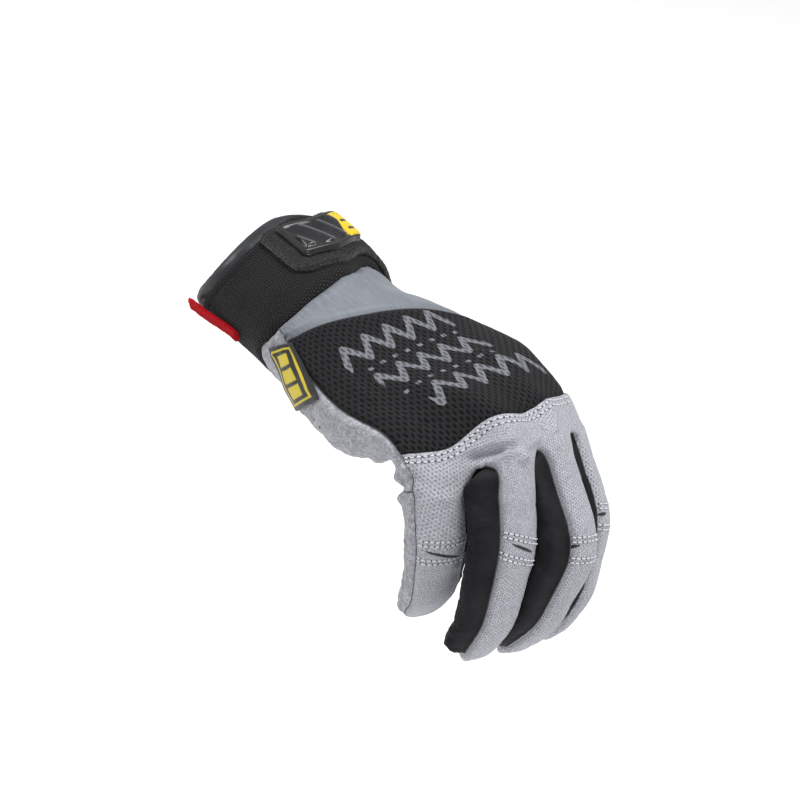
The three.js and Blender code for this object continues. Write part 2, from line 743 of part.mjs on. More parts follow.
const KNIT_BLACK = cloth(0x1c1c1e, 0.95);
const glove = new THREE.Group();
glove.add(
  makePanel('wrist_panel', STRETCH, cloth(0x6f7378, 0.7)),
  makePanel('back_panel', STRETCH, cloth(0x232326, 0.9)),
  makePanel('knuckle_panel', STRETCH, cloth(0x8f949a, 0.75)),
  makePanel('palm_panel', LEATHER, cloth(0x9a9c9f, 0.9)),
  makePanel('thumb_back', LEATHER, cloth(0x8f949a, 0.75)),
  makePanel('thumb_front', LEATHER, cloth(0x9a9c9f, 0.9)),
);
for (const { name } of FINGERS) {
  glove.add(
    makePanel('finger_back_' + name, STRETCH, cloth(0x8f949a, 0.75)),
    makePanel('finger_front_' + name, LEATHER, cloth(0x9a9c9f, 0.9)),
  );
}
for (let k = 1; k < 4; k++) glove.add(makePanel('fourchette_' + k, LEATHER, cloth(0x1e1e20, 0.85)));

// Angles round the hand that its columns stand at, from the little-finger side of the back
const roundAngles = columns.map((column) => anglesOf(column).hand);
const spread = (from, to, i, count) => lerp(from, to, i / (count - 1));

// The cuff meets the panels at their first row; its lining stands out past it at the opening
const cuffTop = HAND_ROWS[0].backOut * HAND_LENGTH - SEAM_GAP;
const cuffEnd = cuffTop - CUFF_LENGTH;
const CUFF_ROWS = 10;
const CUFF_PROUD = 0.5;

glove.add(makeSheet(
  'cuff', CUFF_ROWS, roundAngles.length, true,
  (r, c, height) => handPoint(spread(cuffEnd, cuffTop, r, CUFF_ROWS), radians(roundAngles[c]), height),
  -KNIT, CUFF_PROUD, KNIT_BLACK,
));

const LINING_ROWS = 4;
const LINING_TUCK = 10;
glove.add(makeSheet(
  'cuff_lining', LINING_ROWS, roundAngles.length, true,
  (r, c, height) => handPoint(
    spread(cuffEnd - CUFF_RIM, cuffEnd + LINING_TUCK, r, LINING_ROWS), radians(roundAngles[c]), height,
  ),
  -KNIT - SEAM_GAP - LINING, -KNIT - SEAM_GAP, cloth(0x2a2b2d, 0.8),
));

// Closure: a strap over the back of the cuff from the thumb side, with a grip and a badge on it.
// from and to are angles round the cuff, low and high shares of the hand's length, round the share
// of the width lost at a free corner, corner its reach in degrees
const STRAP = {
  from: 114, to: -30, low: -0.1, high: -0.47, wall: 2.2, round: 0.4, corner: 12, rows: 7, cols: 30,
};
const GRIP = {
  from: 101, to: 70, low: -0.15, high: -0.43, wall: 2, round: 0.15, corner: 6, rows: 5, cols: 8,
};
const BADGE = {
  from: 66, to: 54, low: -0.18, high: -0.4, wall: 1.4, round: 0, corner: 1, rows: 5, cols: 4,
};

function patch(name, { from, to, low, high, wall, round, corner, rows, cols }, lift, material) {
  return makeSheet(
    name, rows, cols, false,
    (r, c, height) => {
      const angle = spread(from, to, c, cols);
      const t = 1 - Math.min((from - angle) / corner, 1);
      const keep = 1 - round * (1 - Math.sqrt(1 - t * t));
      const middle = (low + high) / 2;
      const x = lerp(middle, spread(high, low, r, rows), keep) * HAND_LENGTH;
      return handPoint(x, radians(angle), height);
    },
    lift, lift + wall, material,
  );
}

const strapLift = CUFF_PROUD + TRIM_GAP;
const gripLift = strapLift + STRAP.wall + TRIM_GAP;
glove.add(
  patch('closure_strap', STRAP, strapLift, cloth(0x161617, 1)),
  patch('closure_grip', GRIP, gripLift, cloth(0x1b1b1c, 0.5)),
  patch('closure_badge', BADGE, gripLift, cloth(0xe8c21a, 0.5)),
);

// Pull loop: a doubled webbing that stands off the palm side of the cuff towards the opening
const LOOP = {
  start: -0.24, end: -0.6, angle: 200, reach: 8, wall: 2.4, bow: 3.2, rows: 8, cols: 4,
};

glove.add(makeSheet(
  'pull_loop', LOOP.rows, LOOP.cols, false,
  (r, c, height) => {
    const along = r / (LOOP.rows - 1);
    const x = lerp(LOOP.end, LOOP.start, along) * HAND_LENGTH;
    const angle = spread(LOOP.angle + LOOP.reach, LOOP.angle - LOOP.reach, c, LOOP.cols);
    return handPoint(x, radians(angle), height + LOOP.bow * smooth(1.3 - 1.3 * along));
  },
  strapLift, strapLift + LOOP.wall, cloth(0xc0181f, 0.8),
));

// Label on the little-finger side: corners as shares of the hand's length and angles round it
const LABEL_CORNERS = {
  outStart: { at: 0, angle: 187 },
  inStart: { at: 0.06, angle: 165.5 },
  outEnd: { at: 0.24, angle: 190 },
  inEnd: { at: 0.32, angle: 166 },
};
const LABEL_ROWS = 8;
const LABEL_COLS = 5;
const LABEL_GAP = 0.5;
const LABEL_WALL = 0.9;

// Where a line from outside meets the surface of a panel, with the panel's own flat facets
function seat(panel, from, inward) {
  const ray = new THREE.Raycaster(from.clone().addScaledVector(inward, -2 * FINGER_RADIUS), inward);
  return ray.intersectObject(panel, false)[0].point;
}

const palm = glove.getObjectByName('palm_panel');
glove.add(makeSheet(
  'side_label', LABEL_ROWS, LABEL_COLS, false,
  (r, c, height) => {
    const { outStart, inStart, outEnd, inEnd } = LABEL_CORNERS;
    const u = r / (LABEL_ROWS - 1);
    const v = c / (LABEL_COLS - 1);
    const at = lerp(lerp(outStart.at, outEnd.at, u), lerp(inStart.at, inEnd.at, u), v);
    const angle = lerp(lerp(outStart.angle, outEnd.angle, u), lerp(inStart.angle, inEnd.angle, u), v);
    const low = handPoint(at * HAND_LENGTH, radians(angle), 0);
    const inward = low.clone().sub(handPoint(at * HAND_LENGTH, radians(angle), LABEL_WALL)).normalize();
    return seat(palm, low, inward).addScaledVector(inward, -height);
  },
  LABEL_GAP, LABEL_GAP + LABEL_WALL, cloth(0x17171a, 0.7),
));

export default glove;
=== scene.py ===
"""Right-hand mechanic's glove on a curled hand.

The cloth panels are cut from one net of four-sided cells, in millimetres as in the CAD. The net is
subdivided, folded and thickened, and cut along its seams. Trim, stitches and print come after.
"""

import math
import random
from collections import namedtuple

import bpy
import numpy as np
from mathutils import Matrix, Vector, noise
from mathutils.bvhtree import BVHTree
from mathutils.kdtree import KDTree


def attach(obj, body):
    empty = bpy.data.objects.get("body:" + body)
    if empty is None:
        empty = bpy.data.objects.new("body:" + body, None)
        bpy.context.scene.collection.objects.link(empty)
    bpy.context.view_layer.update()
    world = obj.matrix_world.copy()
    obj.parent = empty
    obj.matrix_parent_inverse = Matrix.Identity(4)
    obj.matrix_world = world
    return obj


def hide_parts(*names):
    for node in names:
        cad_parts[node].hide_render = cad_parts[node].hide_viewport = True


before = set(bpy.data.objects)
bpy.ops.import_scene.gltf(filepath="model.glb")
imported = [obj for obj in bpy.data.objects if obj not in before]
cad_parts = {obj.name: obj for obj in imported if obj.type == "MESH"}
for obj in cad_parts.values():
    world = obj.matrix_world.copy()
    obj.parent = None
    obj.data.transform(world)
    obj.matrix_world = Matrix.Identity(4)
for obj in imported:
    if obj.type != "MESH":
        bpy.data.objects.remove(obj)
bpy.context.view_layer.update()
rng = random.Random(7)

MM = 0.001

# Driving sizes, in millimetres
HAND_WIDTH = 94
HAND_LENGTH = 92
FINGER_LENGTH = 100
FINGER_RADIUS = 10
CUFF_LENGTH = 44
CUFF_RIM = 5

# Walls of the cloth
LEATHER = 1.4
STRETCH = 1.6
KNIT = 2.2
LINING = 1.2
SEAM_GAP = 0.34
TRIM_GAP = 0.3

# Bend of the wrist, and the stretch of hand that it is spread over
WRIST_YAW = -14
WRIST_PITCH = 4.7
WRIST_START = 0.24 * HAND_LENGTH
WRIST_END = -0.24 * HAND_LENGTH

# Cells across the back of a finger and down its side
ACROSS = 4
DOWN = 4
WIDE = 4 * ACROSS

# Edges of the panels, in degrees from straight sideways: at the hand's and the outer fingers' free
# sides, at the front between two fingers, and at the back of each finger on its thumb side (in) and
# its little-finger side (out)
HAND_EDGE = 18
FINGER_EDGE = 28
FRONT_EDGE = 44
BACK_EDGES_IN = (28, 28, 62, 28)
BACK_EDGES_OUT = (28, 28, 28, 46)
FINGER_SQUARE = 0.84
HAND_SQUARE = 0.9

# Sections of the hand: at is a share of the hand's length, the others of its width
Section = namedtuple("Section", "at half above below side rise")
SECTIONS = [
    Section(-0.65, 0.36, 0.27, 0.235, 0.01, 0.015),
    Section(-0.33, 0.345, 0.262, 0.24, 0.01, 0.015),
    Section(-0.04, 0.33, 0.262, 0.3, 0, 0.012),
    Section(0.22, 0.422, 0.222, 0.295, 0, -0.023),
    Section(0.49, 0.514, 0.172, 0.262, 0, -0.026),
    Section(0.76, 0.538, 0.194, 0.233, -0.011, 0.018),
    Section(1.03, 0.5, 0.149, 0.17, -0.021, 0),
]

# Rows of the hand, as shares of its length, then rows past each knuckle, as shares of a finger's
HandRow = namedtuple("HandRow", "name back_out back_in palm_out palm_in")
HAND_ROWS = [
    HandRow("cuff_edge", -0.04, -0.04, -0.04, -0.04),
    HandRow("wrist_a", -0.012, 0.08, 0.08, 0.08),
    HandRow("wrist_b", 0.008, 0.215, 0.18, 0.17),
    HandRow("mesh_top", 0.028, 0.351, 0.29, 0.28),
    HandRow("back_a", 0.22, 0.46, 0.4, 0.39),
    HandRow("back_b", 0.39, 0.57, 0.51, 0.5),
    HandRow("back_c", 0.55, 0.67, 0.62, 0.6),
]
KnuckleRow = namedtuple("KnuckleRow", "name back palm")
KNUCKLE_ROWS = [
    KnuckleRow("back_d", -0.11, -0.14),
    KnuckleRow("knuckle_seam", 0.055, -0.04),
    KnuckleRow("knuckle_a", 0.084, 0.03),
    KnuckleRow("knuckle_b", 0.113, 0.095),
    KnuckleRow("crotch", 0.141, 0.16),
]
ROW_NAMES = [row.name for row in HAND_ROWS + KNUCKLE_ROWS]
LAST = len(ROW_NAMES) - 1
MESH_ROW = ROW_NAMES.index("mesh_top")
SEAM_ROW = ROW_NAMES.index("knuckle_seam")
LITTLE_SLOPE = 0.04 * FINGER_LENGTH
INDEX_SLOPE = -0.02 * FINGER_LENGTH

# Fingers, as in the CAD: places as shares of the hand, angles in degrees, sizes as shares of a
# finger's length and radius
FingerRow = namedtuple(
    "FingerRow",
    "name along across rise turn spread bends bones half high full_out full_in sway",
)
FINGERS = [
    FingerRow("little", 0.843, -0.378, 0.08, 3.5, -18.6,
              (78, 16, 22), (0.37, 0.22, 0.2), 1.2, 0.88, 0, 0.3, 0),
    FingerRow("ring", 0.967, -0.114, 0.162, -12.2, -8.6,
              (64.6, 20, 22), (0.46, 0.28, 0.22), 1.01, 1.03, 0.24, 0, -0.1),
    FingerRow("middle", 0.963, 0.076, 0.079, -19.7, 6.3,
              (47.6, 48.6, 22), (0.5, 0.3, 0.22), 0.95, 1.07, 0, 0, 0.25),
    FingerRow("index", 0.883, 0.294, 0.01, -33, 16.3,
              (43.7, 31.7, 22), (0.46, 0.27, 0.22), 0.99, 0.94, 0, 0, 1),
]
BEND_LENGTHS = [3.2 * FINGER_RADIUS, 1.5 * FINGER_RADIUS, 1.3 * FINGER_RADIUS]
FINGER_STEP = 0.5

# Size along a finger: at counts knuckle 0, middle joint 1, end joint 2, tip 3
Profile = namedtuple("Profile", "at half above below")
FINGER_PROFILE = [
    Profile(-0.3, 1.1, 1.25, 1.5),
    Profile(0, 1.1, 1.28, 1.35),
    Profile(0.35, 1, 1.08, 1.1),
    Profile(1, 1, 1.02, 0.92),
    Profile(1.5, 0.95, 0.9, 0.95),
    Profile(2, 0.92, 0.88, 0.85),
    Profile(2.6, 0.84, 0.74, 0.78),
    Profile(3, 0.6, 0.48, 0.48),
]
FIRST_BONE_ROWS = [0.12, 0.34, 0.58, 0.8, 1]
SECOND_BONE_ROWS = [0.25, 0.6, 0.95]
THIRD_BONE_ROWS = [0.25, 0.55, 0.8]
FINGER_DOME = 0.1
THUMB_DOME = 0.12
THUMB_END = 0.7

# Thumb: the rows and columns that its hole lies between, and its rings
HOLE_ROWS = (2, 6)
HOLE_COLUMNS = (4 * ACROSS + 1, 4 * ACROSS + 7)
ThumbRing = namedtuple("ThumbRing", "along across rise radius")
THUMB_RINGS = [
    ThumbRing(0.43, 0.545, -0.19, 1.38),
    ThumbRing(0.5, 0.57, -0.3, 1.27),
    ThumbRing(0.585, 0.565, -0.4, 1.18),
    ThumbRing(0.68, 0.545, -0.5, 1.14),
    ThumbRing(0.78, 0.515, -0.59, 1.1),
    ThumbRing(0.88, 0.48, -0.68, 1.04),
    ThumbRing(0.95, 0.45, -0.73, 0.95),
    ThumbRing(0.99, 0.43, -0.76, 0.72),
]

# The hand's section runs smoothly into the fingers' sections over this stretch, then is evened out
MIX_START = -0.3 * FINGER_LENGTH
MIX_END = -0.03 * FINGER_LENGTH
EVEN_FROM = 5
EVEN_TURNS = 3
EVEN_SHARE = 0.5

# The photograph's camera: angles in degrees, distance and target in millimetres, pixels of 800
CAMERA_AZIMUTH = -51.2
CAMERA_ELEVATION = 33.65
CAMERA_ROLL = 6.95
CAMERA_DISTANCE = 983.5
CAMERA_TARGET = (60, -5, -5)
FOCAL_PIXELS = 2613
CENTRE_PIXEL = (444.8, 417.1)
PICTURE = 800
SENSOR = 36


# Small sums, and a short call that puts new data into the scene

def clamp(t):
    return min(max(t, 0.0), 1.0)


def smooth(t):
    s = clamp(t)
    return s * s * (3 - 2 * s)


def wave(at, height, middle, reach):
    return height * math.exp(-(((at - middle) / reach) ** 2))


def lerp(a, b, t):
    return a + (b - a) * t


def radians(degrees):
    return degrees * math.pi / 180


def unit(v):
    return v / max(np.linalg.norm(v), 1e-12)


def direction(around, upward):
    """Unit vector at an angle round the upright axis and one above the floor."""
    flat = math.cos(upward)
    return np.array([math.cos(around) * flat, math.sin(around) * flat, math.sin(upward)])


def nearest(tree, spot):
    """Nearest place on a surface, its direction outward, and how far away it is."""
    hit, normal, _, distance = tree.find_nearest(Vector(spot))
    return np.array(hit), np.array(normal), distance


def add_object(name, data):
    obj = bpy.data.objects.new(name, data)
    bpy.context.scene.collection.objects.link(obj)
    return obj


def read(table, column, at):
    """Value of a table's column at a place along its at column."""
    return float(np.interp(at, [row.at for row in table], [getattr(row, column) for row in table]))


def rounded_square(angle, power):
    c, s = math.cos(angle), math.sin(angle)
    return math.copysign(abs(c) ** power, c), math.copysign(abs(s) ** power, s)


# The hand and the fingers, in millimetres

def wrist_axes(x):
    share = clamp((WRIST_START - x) / (WRIST_START - WRIST_END))
    yaw = radians(WRIST_YAW) * share
    along = direction(yaw, radians(WRIST_PITCH) * share)
    side = np.array([-math.sin(yaw), math.cos(yaw), 0])
    return along, side, np.cross(along, side)


# Middle of the wrist at equal steps towards the cuff
WRIST_STEP = 0.5
WRIST_STEPS = 260
wrist_line = [np.array([WRIST_START, 0.0, 0.0])]
for i in range(WRIST_STEPS):
    wrist_line.append(wrist_line[-1] - WRIST_STEP * wrist_axes(WRIST_START - (i + 0.5) * WRIST_STEP)[0])


def wrist_frame(x):
    """Middle of the hand at x, with its side and up directions."""
    _, side, up = wrist_axes(x)
    if x >= WRIST_START:
        return np.array([x, 0.0, 0.0]), side, up
    at = (WRIST_START - x) / WRIST_STEP
    i = int(at)
    return lerp(wrist_line[i], wrist_line[i + 1], at - i), side, up


# Where the cloth departs a little from the CAD's straight rows: slides along the hand in millimetres
# by the angle round it, for the cuff's top seam, the knit's hem and the lining's rim
TOP_SLIDE = [
    (-40, 0), (0, -6), (35, -12), (50, -11), (60, -8), (70, -4), (80, -0.5), (90, 1), (100, 3),
    (110, 4), (130, 4), (140, 3.5), (150, 2), (160, 0), (170, -2), (180, -5.5), (190, -8.5),
    (215, -8), (250, -3), (290, 0), (320, 0),
]
HEM_SLIDE = [
    (-40, 0), (30, -2), (60, -3), (80, -2.5), (90, 0), (100, 3.5), (110, 6.5), (120, 8),
    (130, 8.5), (140, 8.5), (150, 7.5), (160, 5.5), (170, 3), (180, -0.5), (190, -4), (205, -5.5),
    (250, -3), (290, 0), (320, 0),
]
RIM_SLIDE = [
    (-40, 0), (30, 0), (60, -1.5), (80, -2), (90, -1.5), (100, 1), (110, 3.3), (120, 5), (130, 6),
    (140, 6.2), (150, 5.5), (160, 4), (170, 1.3), (180, -2.5), (190, -5), (205, -5), (250, -2.5),
    (290, 0), (320, 0),
]

# Share of the top seam's slide that the wrist panel's first rows take
SLIDE_SHARES = (1, 0.6, 0.3)
SLIDE_FROM = -40

# The wrist is pressed in on the thumb side of its back: place, reach along and round, and depth
WRIST_DENT_X = -4
WRIST_DENT_ANGLE = 50
WRIST_DENT_REACH = 13
WRIST_DENT_SPAN = 28
WRIST_DENT = 5


def slide(table, degrees):
    angles, slides = np.array(table, dtype=float).T
    return float(np.interp((degrees - SLIDE_FROM) % 360 + SLIDE_FROM, angles, slides))


def wrist_dent(x, degrees):
    around = (degrees - WRIST_DENT_ANGLE + 180) % 360 - 180
    near = ((x - WRIST_DENT_X) / WRIST_DENT_REACH) ** 2 + (around / WRIST_DENT_SPAN) ** 2
    return WRIST_DENT * math.exp(-near)


def hand_point(x, degrees, grow=0.0):
    """Point of the hand or cuff at x and at an angle round it, grown outward."""
    grow = grow - wrist_dent(x, degrees)
    at = x / HAND_LENGTH
    c, s = rounded_square(radians(degrees), HAND_SQUARE)
    half, high, off, rise = (
        read(SECTIONS, column, at) * HAND_WIDTH
        for column in ("half", "above" if s > 0 else "below", "side", "rise")
    )
    centre, side, up = wrist_frame(x)
    return centre + side * ((half + grow) * c + off) + up * ((high + grow) * s + rise)


class Finger:
    """A finger's bent middle line and its sections."""

    def __init__(self, row):
        self.row = row
        self.name = row.name
        turn, spread = radians(row.turn), radians(row.spread)
        self.back = np.array([0, -math.sin(turn), math.cos(turn)])
        flat = np.array([0, math.cos(turn), math.sin(turn)])
        forward = np.array([1.0, 0, 0])
        self.ahead = forward * math.cos(spread) + flat * math.sin(spread)
        self.side = -forward * math.sin(spread) + flat * math.cos(spread)
        self.knuckle = np.array([
            row.along * HAND_LENGTH, row.across * HAND_WIDTH, row.rise * HAND_WIDTH,
        ])
        self.joints = [0.0]
        for bone in row.bones:
            self.joints.append(self.joints[-1] + bone * FINGER_LENGTH)
        self.frames = {}

    def bend(self, length):
        return sum(
            radians(b) * clamp((length - joint) / reach + 0.5)
            for b, joint, reach in zip(self.row.bends, self.joints, BEND_LENGTHS)
        )

    def direction(self, length):
        bend = self.bend(length)
        return self.ahead * math.cos(bend) - self.back * math.sin(bend)

    def frame(self, length):
        """Centre, along and up at a length past the knuckle."""
        key = round(length, 4)
        if key not in self.frames:
            low = -BEND_LENGTHS[0]
            centre = self.knuckle + self.ahead * min(length, low)
            steps = max(math.ceil((length - low) / FINGER_STEP), 1)
            step = max(length - low, 0) / steps
            for i in range(steps):
                centre = centre + self.direction(low + (i + 0.5) * step) * step
            bend = self.bend(length)
            up = self.ahead * math.sin(bend) + self.back * math.cos(bend)
            away = self.row.sway * FINGER_RADIUS * smooth((length / self.joints[1] - 0.4) / 1.6)
            self.frames[key] = centre + self.side * away, self.direction(length), up
        return self.frames[key]

    def size(self, length):
        """Half width, height above and depth below the middle line."""
        if length < 0:
            at = length / self.joints[1]
        else:
            at = float(np.interp(length, self.joints, range(len(self.joints))))
        row = self.row
        return (
            read(FINGER_PROFILE, "half", at) * row.half * FINGER_RADIUS,
            read(FINGER_PROFILE, "above", at) * row.high * FINGER_RADIUS,
            read(FINGER_PROFILE, "below", at) * row.high * FINGER_RADIUS,
        )

    def point(self, length, degrees):
        centre, _, up = self.frame(length)
        half, above, below = self.size(length)
        c, s = rounded_square(radians(degrees), FINGER_SQUARE)
        full = self.row.full_in if c > 0 else self.row.full_out
        full *= smooth(-s) * smooth(2 * length / self.joints[1] - 0.6)
        return centre + self.side * (half * (1 + full) * c) + up * ((above if s > 0 else below) * s)


fingers = [Finger(row) for row in FINGERS]

# The net: points by name, and cells with the panel that each belongs to
points = []
index = {}
cells = []
Cell = namedtuple("Cell", "corners panel straight")


def add_point(key, point):
    index[key] = len(points)
    points.append(point)


def add_cell(keys, panel, straight=True):
    cells.append(Cell([index[key] for key in keys], panel, straight))


columns = (
    [("back", i) for i in range(WIDE + 1)]
    + [("in", i) for i in range(1, DOWN)]
    + [("palm", i) for i in range(WIDE, -1, -1)]
    + [("out", i) for i in range(DOWN - 1, 0, -1)]
)


def place_of(column):
    """How far a column lies across the hand, and how far round from back to palm."""
    part, i = column
    if part == "back":
        return i / WIDE, 0
    if part == "palm":
        return i / WIDE, 1
    return (1 if part == "in" else 0), i / DOWN


def knuckle_x(across):
    at = across * 4 - 0.5
    x = [finger.knuckle[0] for finger in fingers]
    if at <= 0:
        return x[0] + at * LITTLE_SLOPE
    if at >= 3:
        return x[3] + (at - 3) * INDEX_SLOPE
    return float(np.interp(at, range(4), x))


def row_x(row, column):
    across, turn = place_of(column)
    if row < len(HAND_ROWS):
        _, back_out, back_in, palm_out, palm_in = HAND_ROWS[row]
        x = HAND_LENGTH * lerp(lerp(back_out, back_in, across), lerp(palm_out, palm_in, across), turn)
        if row < len(SLIDE_SHARES):
            x += SLIDE_SHARES[row] * slide(TOP_SLIDE, angles_of(column)[0])
        return x
    _, back, palm = KNUCKLE_ROWS[row - len(HAND_ROWS)]
    return knuckle_x(across) + FINGER_LENGTH * lerp(back, palm, turn)


def angles_of(column):
    """A column's angle on the hand, and on the one or two fingers that it runs on to."""
    part, i = column
    reach, wide = 180 - 2 * HAND_EDGE, 180 - 2 * FINGER_EDGE
    if part == "in":
        return HAND_EDGE * (1 - 2 * i / DOWN), [(3, FINGER_EDGE * (1 - 2 * i / DOWN))]
    if part == "out":
        return 180 - HAND_EDGE * (1 - 2 * i / DOWN), [(0, 180 - FINGER_EDGE * (1 - 2 * i / DOWN))]
    sign = 1 if part == "back" else -1
    hand = sign * (180 - HAND_EDGE - reach * i / WIDE)
    k = i // ACROSS
    if i % ACROSS == 0 and 0 < k < 4:
        if part == "palm":
            return hand, [(k - 1, -FRONT_EDGE), (k, FRONT_EDGE - 180)]
        return hand, [(k - 1, BACK_EDGES_IN[k - 1]), (k, 180 - BACK_EDGES_OUT[k])]
    k = min(k, 3)
    if part == "palm":
        return hand, [(k, -(180 - FINGER_EDGE - wide * (i / ACROSS - k)))]
    edge_in, edge_out = BACK_EDGES_IN[k], BACK_EDGES_OUT[k]
    return hand, [(k, 180 - edge_out - (180 - edge_in - edge_out) * (i / ACROSS - k))]


def hand_vertex(row, column):
    x = row_x(row, column)
    hand, on = angles_of(column)
    point = hand_point(x, hand)
    lengths = [x - fingers[k].knuckle[0] for k, _ in on]
    share = smooth((sum(lengths) / len(lengths) - MIX_START) / (MIX_END - MIX_START))
    if share == 0:
        return point
    target = sum(fingers[k].point(l, angle) for (k, angle), l in zip(on, lengths)) / len(on)
    return lerp(point, target, share)


def back_panel(row):
    if row < MESH_ROW:
        return "wrist_panel"
    return "back_panel" if row < SEAM_ROW else "knuckle_panel"


def make_hand():
    count = len(columns)
    for row in range(LAST + 1):
        for i, column in enumerate(columns):
            in_hole = HOLE_ROWS[0] < row < HOLE_ROWS[1] and HOLE_COLUMNS[0] < i < HOLE_COLUMNS[1]
            if not in_hole:
                add_point((row, column), hand_vertex(row, column))
    for row in range(LAST):
        for i, column in enumerate(columns):
            if HOLE_ROWS[0] <= row < HOLE_ROWS[1] and HOLE_COLUMNS[0] <= i < HOLE_COLUMNS[1]:
                continue
            after = columns[(i + 1) % count]
            on_back = column[0] == "back" and after[0] == "back"
            add_cell(
                [(row, column), (row + 1, column), (row + 1, after), (row, after)],
                back_panel(row) if on_back else "palm_panel",
            )


def even_hand():
    """Evens out the hand where its section runs into the fingers."""
    count = len(columns)
    for _ in range(EVEN_TURNS):
        moved = {}
        for row in range(EVEN_FROM, LAST):
            for i, column in enumerate(columns):
                near = [(row, columns[(i + 1) % count]), (row, columns[i - 1])]
                near += [(row - 1, column), (row + 1, column)]
                if all(key in index for key in near + [(row, column)]):
                    mean = sum(points[index[key]] for key in near) / 4
                    at = index[row, column]
                    moved[at] = lerp(points[at], mean, EVEN_SHARE)
        for at, point in moved.items():
            points[at] = point


def make_webs():
    for k in range(3):
        top = points[index[LAST, ("back", (k + 1) * ACROSS)]]
        bottom = points[index[LAST, ("palm", (k + 1) * ACROSS)]]
        for i in range(1, DOWN):
            add_point(("web", k, i), lerp(top, bottom, i / DOWN))


def first_ring(k):
    """The first ring of a finger: back, thumb side, front, little-finger side."""
    keys = [(LAST, ("back", k * ACROSS + i)) for i in range(ACROSS + 1)]
    keys += [(LAST, ("in", i)) if k == 3 else ("web", k, i) for i in range(1, DOWN)]
    keys += [(LAST, ("palm", k * ACROSS + i)) for i in range(ACROSS, -1, -1)]
    keys += [(LAST, ("out", i)) if k == 0 else ("web", k - 1, i) for i in range(DOWN - 1, 0, -1)]
    return keys


def ring_angles(k):
    """Angles of a finger ring's points, with the share of the way from back to front."""
    back_in, back_out = BACK_EDGES_IN[k], BACK_EDGES_OUT[k]
    front_in = FINGER_EDGE if k == 3 else FRONT_EDGE
    front_out = FINGER_EDGE if k == 0 else FRONT_EDGE
    back = 180 - back_in - back_out
    front = 180 - front_in - front_out
    ring = [(180 - back_out - back * i / ACROSS, 0) for i in range(ACROSS + 1)]
    ring += [(lerp(back_in, -front_in, i / DOWN), i / DOWN) for i in range(1, DOWN)]
    ring += [(-front_in - front * i / ACROSS, 1) for i in range(ACROSS + 1)]
    ring += [(180 + lerp(front_out, -back_out, i / DOWN), 1 - i / DOWN) for i in range(1, DOWN)]
    return ring


# The rows at the middle joint lie askew on two fingers: millimetres at the fingers' sides, and the
# share of the first bone that the skew reaches
JOINT_SKEW = {"little": 2.1, "ring": 2.7}
SKEW_REACH = 0.45


def joint_skew(finger, length, degrees):
    near = max(1 - abs(length / finger.joints[1] - 1) / SKEW_REACH, 0)
    return JOINT_SKEW.get(finger.name, 0) * smooth(near) * math.cos(radians(degrees))


def finger_panel(k, i, past_middle):
    name = fingers[k].name
    if i < ACROSS:
        return "finger_back_" + name if past_middle else "knuckle_panel"
    if i < ACROSS + DOWN:
        return "finger_front_index" if k == 3 else f"fourchette_{k + 1}"
    if i < 2 * ACROSS + DOWN:
        return "finger_front_" + name
    return "finger_front_little" if k == 0 else f"fourchette_{k}"


def finger_rows(finger):
    """Lengths of a finger's rings at its back and front, and whether they pass the middle joint."""
    _, middle, end, tip = finger.joints
    back, palm = (share * FINGER_LENGTH for share in KNUCKLE_ROWS[-1][1:])
    rows = [(lerp(back, middle, at), lerp(palm, middle, at), False) for at in FIRST_BONE_ROWS]
    rows += [(lerp(middle, end, at),) * 2 + (True,) for at in SECOND_BONE_ROWS]
    return rows + [(lerp(end, tip, at),) * 2 + (True,) for at in THIRD_BONE_ROWS]


def add_tip(name, last, wide, deep, middle, panel_of):
    """A tube's rounded end: a grid of cells across the last ring, wide by deep."""
    keys = {}
    for u in range(wide + 1):
        for v in range(deep + 1):
            if v == 0:
                key = last[u]
            elif v == deep:
                key = last[2 * wide + deep - u]
            elif u == wide:
                key = last[wide + v]
            elif u == 0:
                key = last[len(last) - v]
            else:
                key = ("tip", name, u, v)
                add_point(key, middle(2 * u / wide - 1, 1 - 2 * v / deep))
            keys[u, v] = key
    for u in range(wide):
        for v in range(deep):
            corners = [keys[u, v], keys[u, v + 1], keys[u + 1, v + 1], keys[u + 1, v]]
            add_cell(corners, panel_of(v), False)


def make_finger_tube(k):
    finger = fingers[k]
    last = first_ring(k)
    ring = ring_angles(k)
    for r, (back, front, past_middle) in enumerate(finger_rows(finger)):
        keys = []
        for i, (angle, turn) in enumerate(ring):
            keys.append(("finger", k, r, i))
            length = lerp(back, front, turn)
            add_point(keys[i], finger.point(length + joint_skew(finger, length, angle), angle))
        for i, key in enumerate(keys):
            after = (i + 1) % len(keys)
            add_cell([last[i], key, keys[after], last[after]], finger_panel(k, i, past_middle))
        last = keys
    tip = finger.joints[3]
    centre, along, up = finger.frame(tip)
    half, above, below = finger.size(tip)

    def middle(x, y):
        dome = FINGER_DOME * FINGER_RADIUS * (1 - (x * x + y * y) / 3)
        return centre + finger.side * (x * half) + up * (y * (above + below) / 2) + along * dome

    def panel_of(v):
        return ("finger_back_" if v < DOWN / 2 else "finger_front_") + finger.name

    add_tip(finger.name, last, ACROSS, DOWN, middle, panel_of)


def thumb_hole():
    first_row, last_row = HOLE_ROWS
    first, last = HOLE_COLUMNS
    keys = [(row, columns[first]) for row in range(last_row, first_row - 1, -1)]
    keys += [(first_row, columns[i]) for i in range(first + 1, last)]
    keys += [(row, columns[last]) for row in range(first_row, last_row + 1)]
    keys += [(last_row, columns[i]) for i in range(last - 1, first, -1)]
    return keys


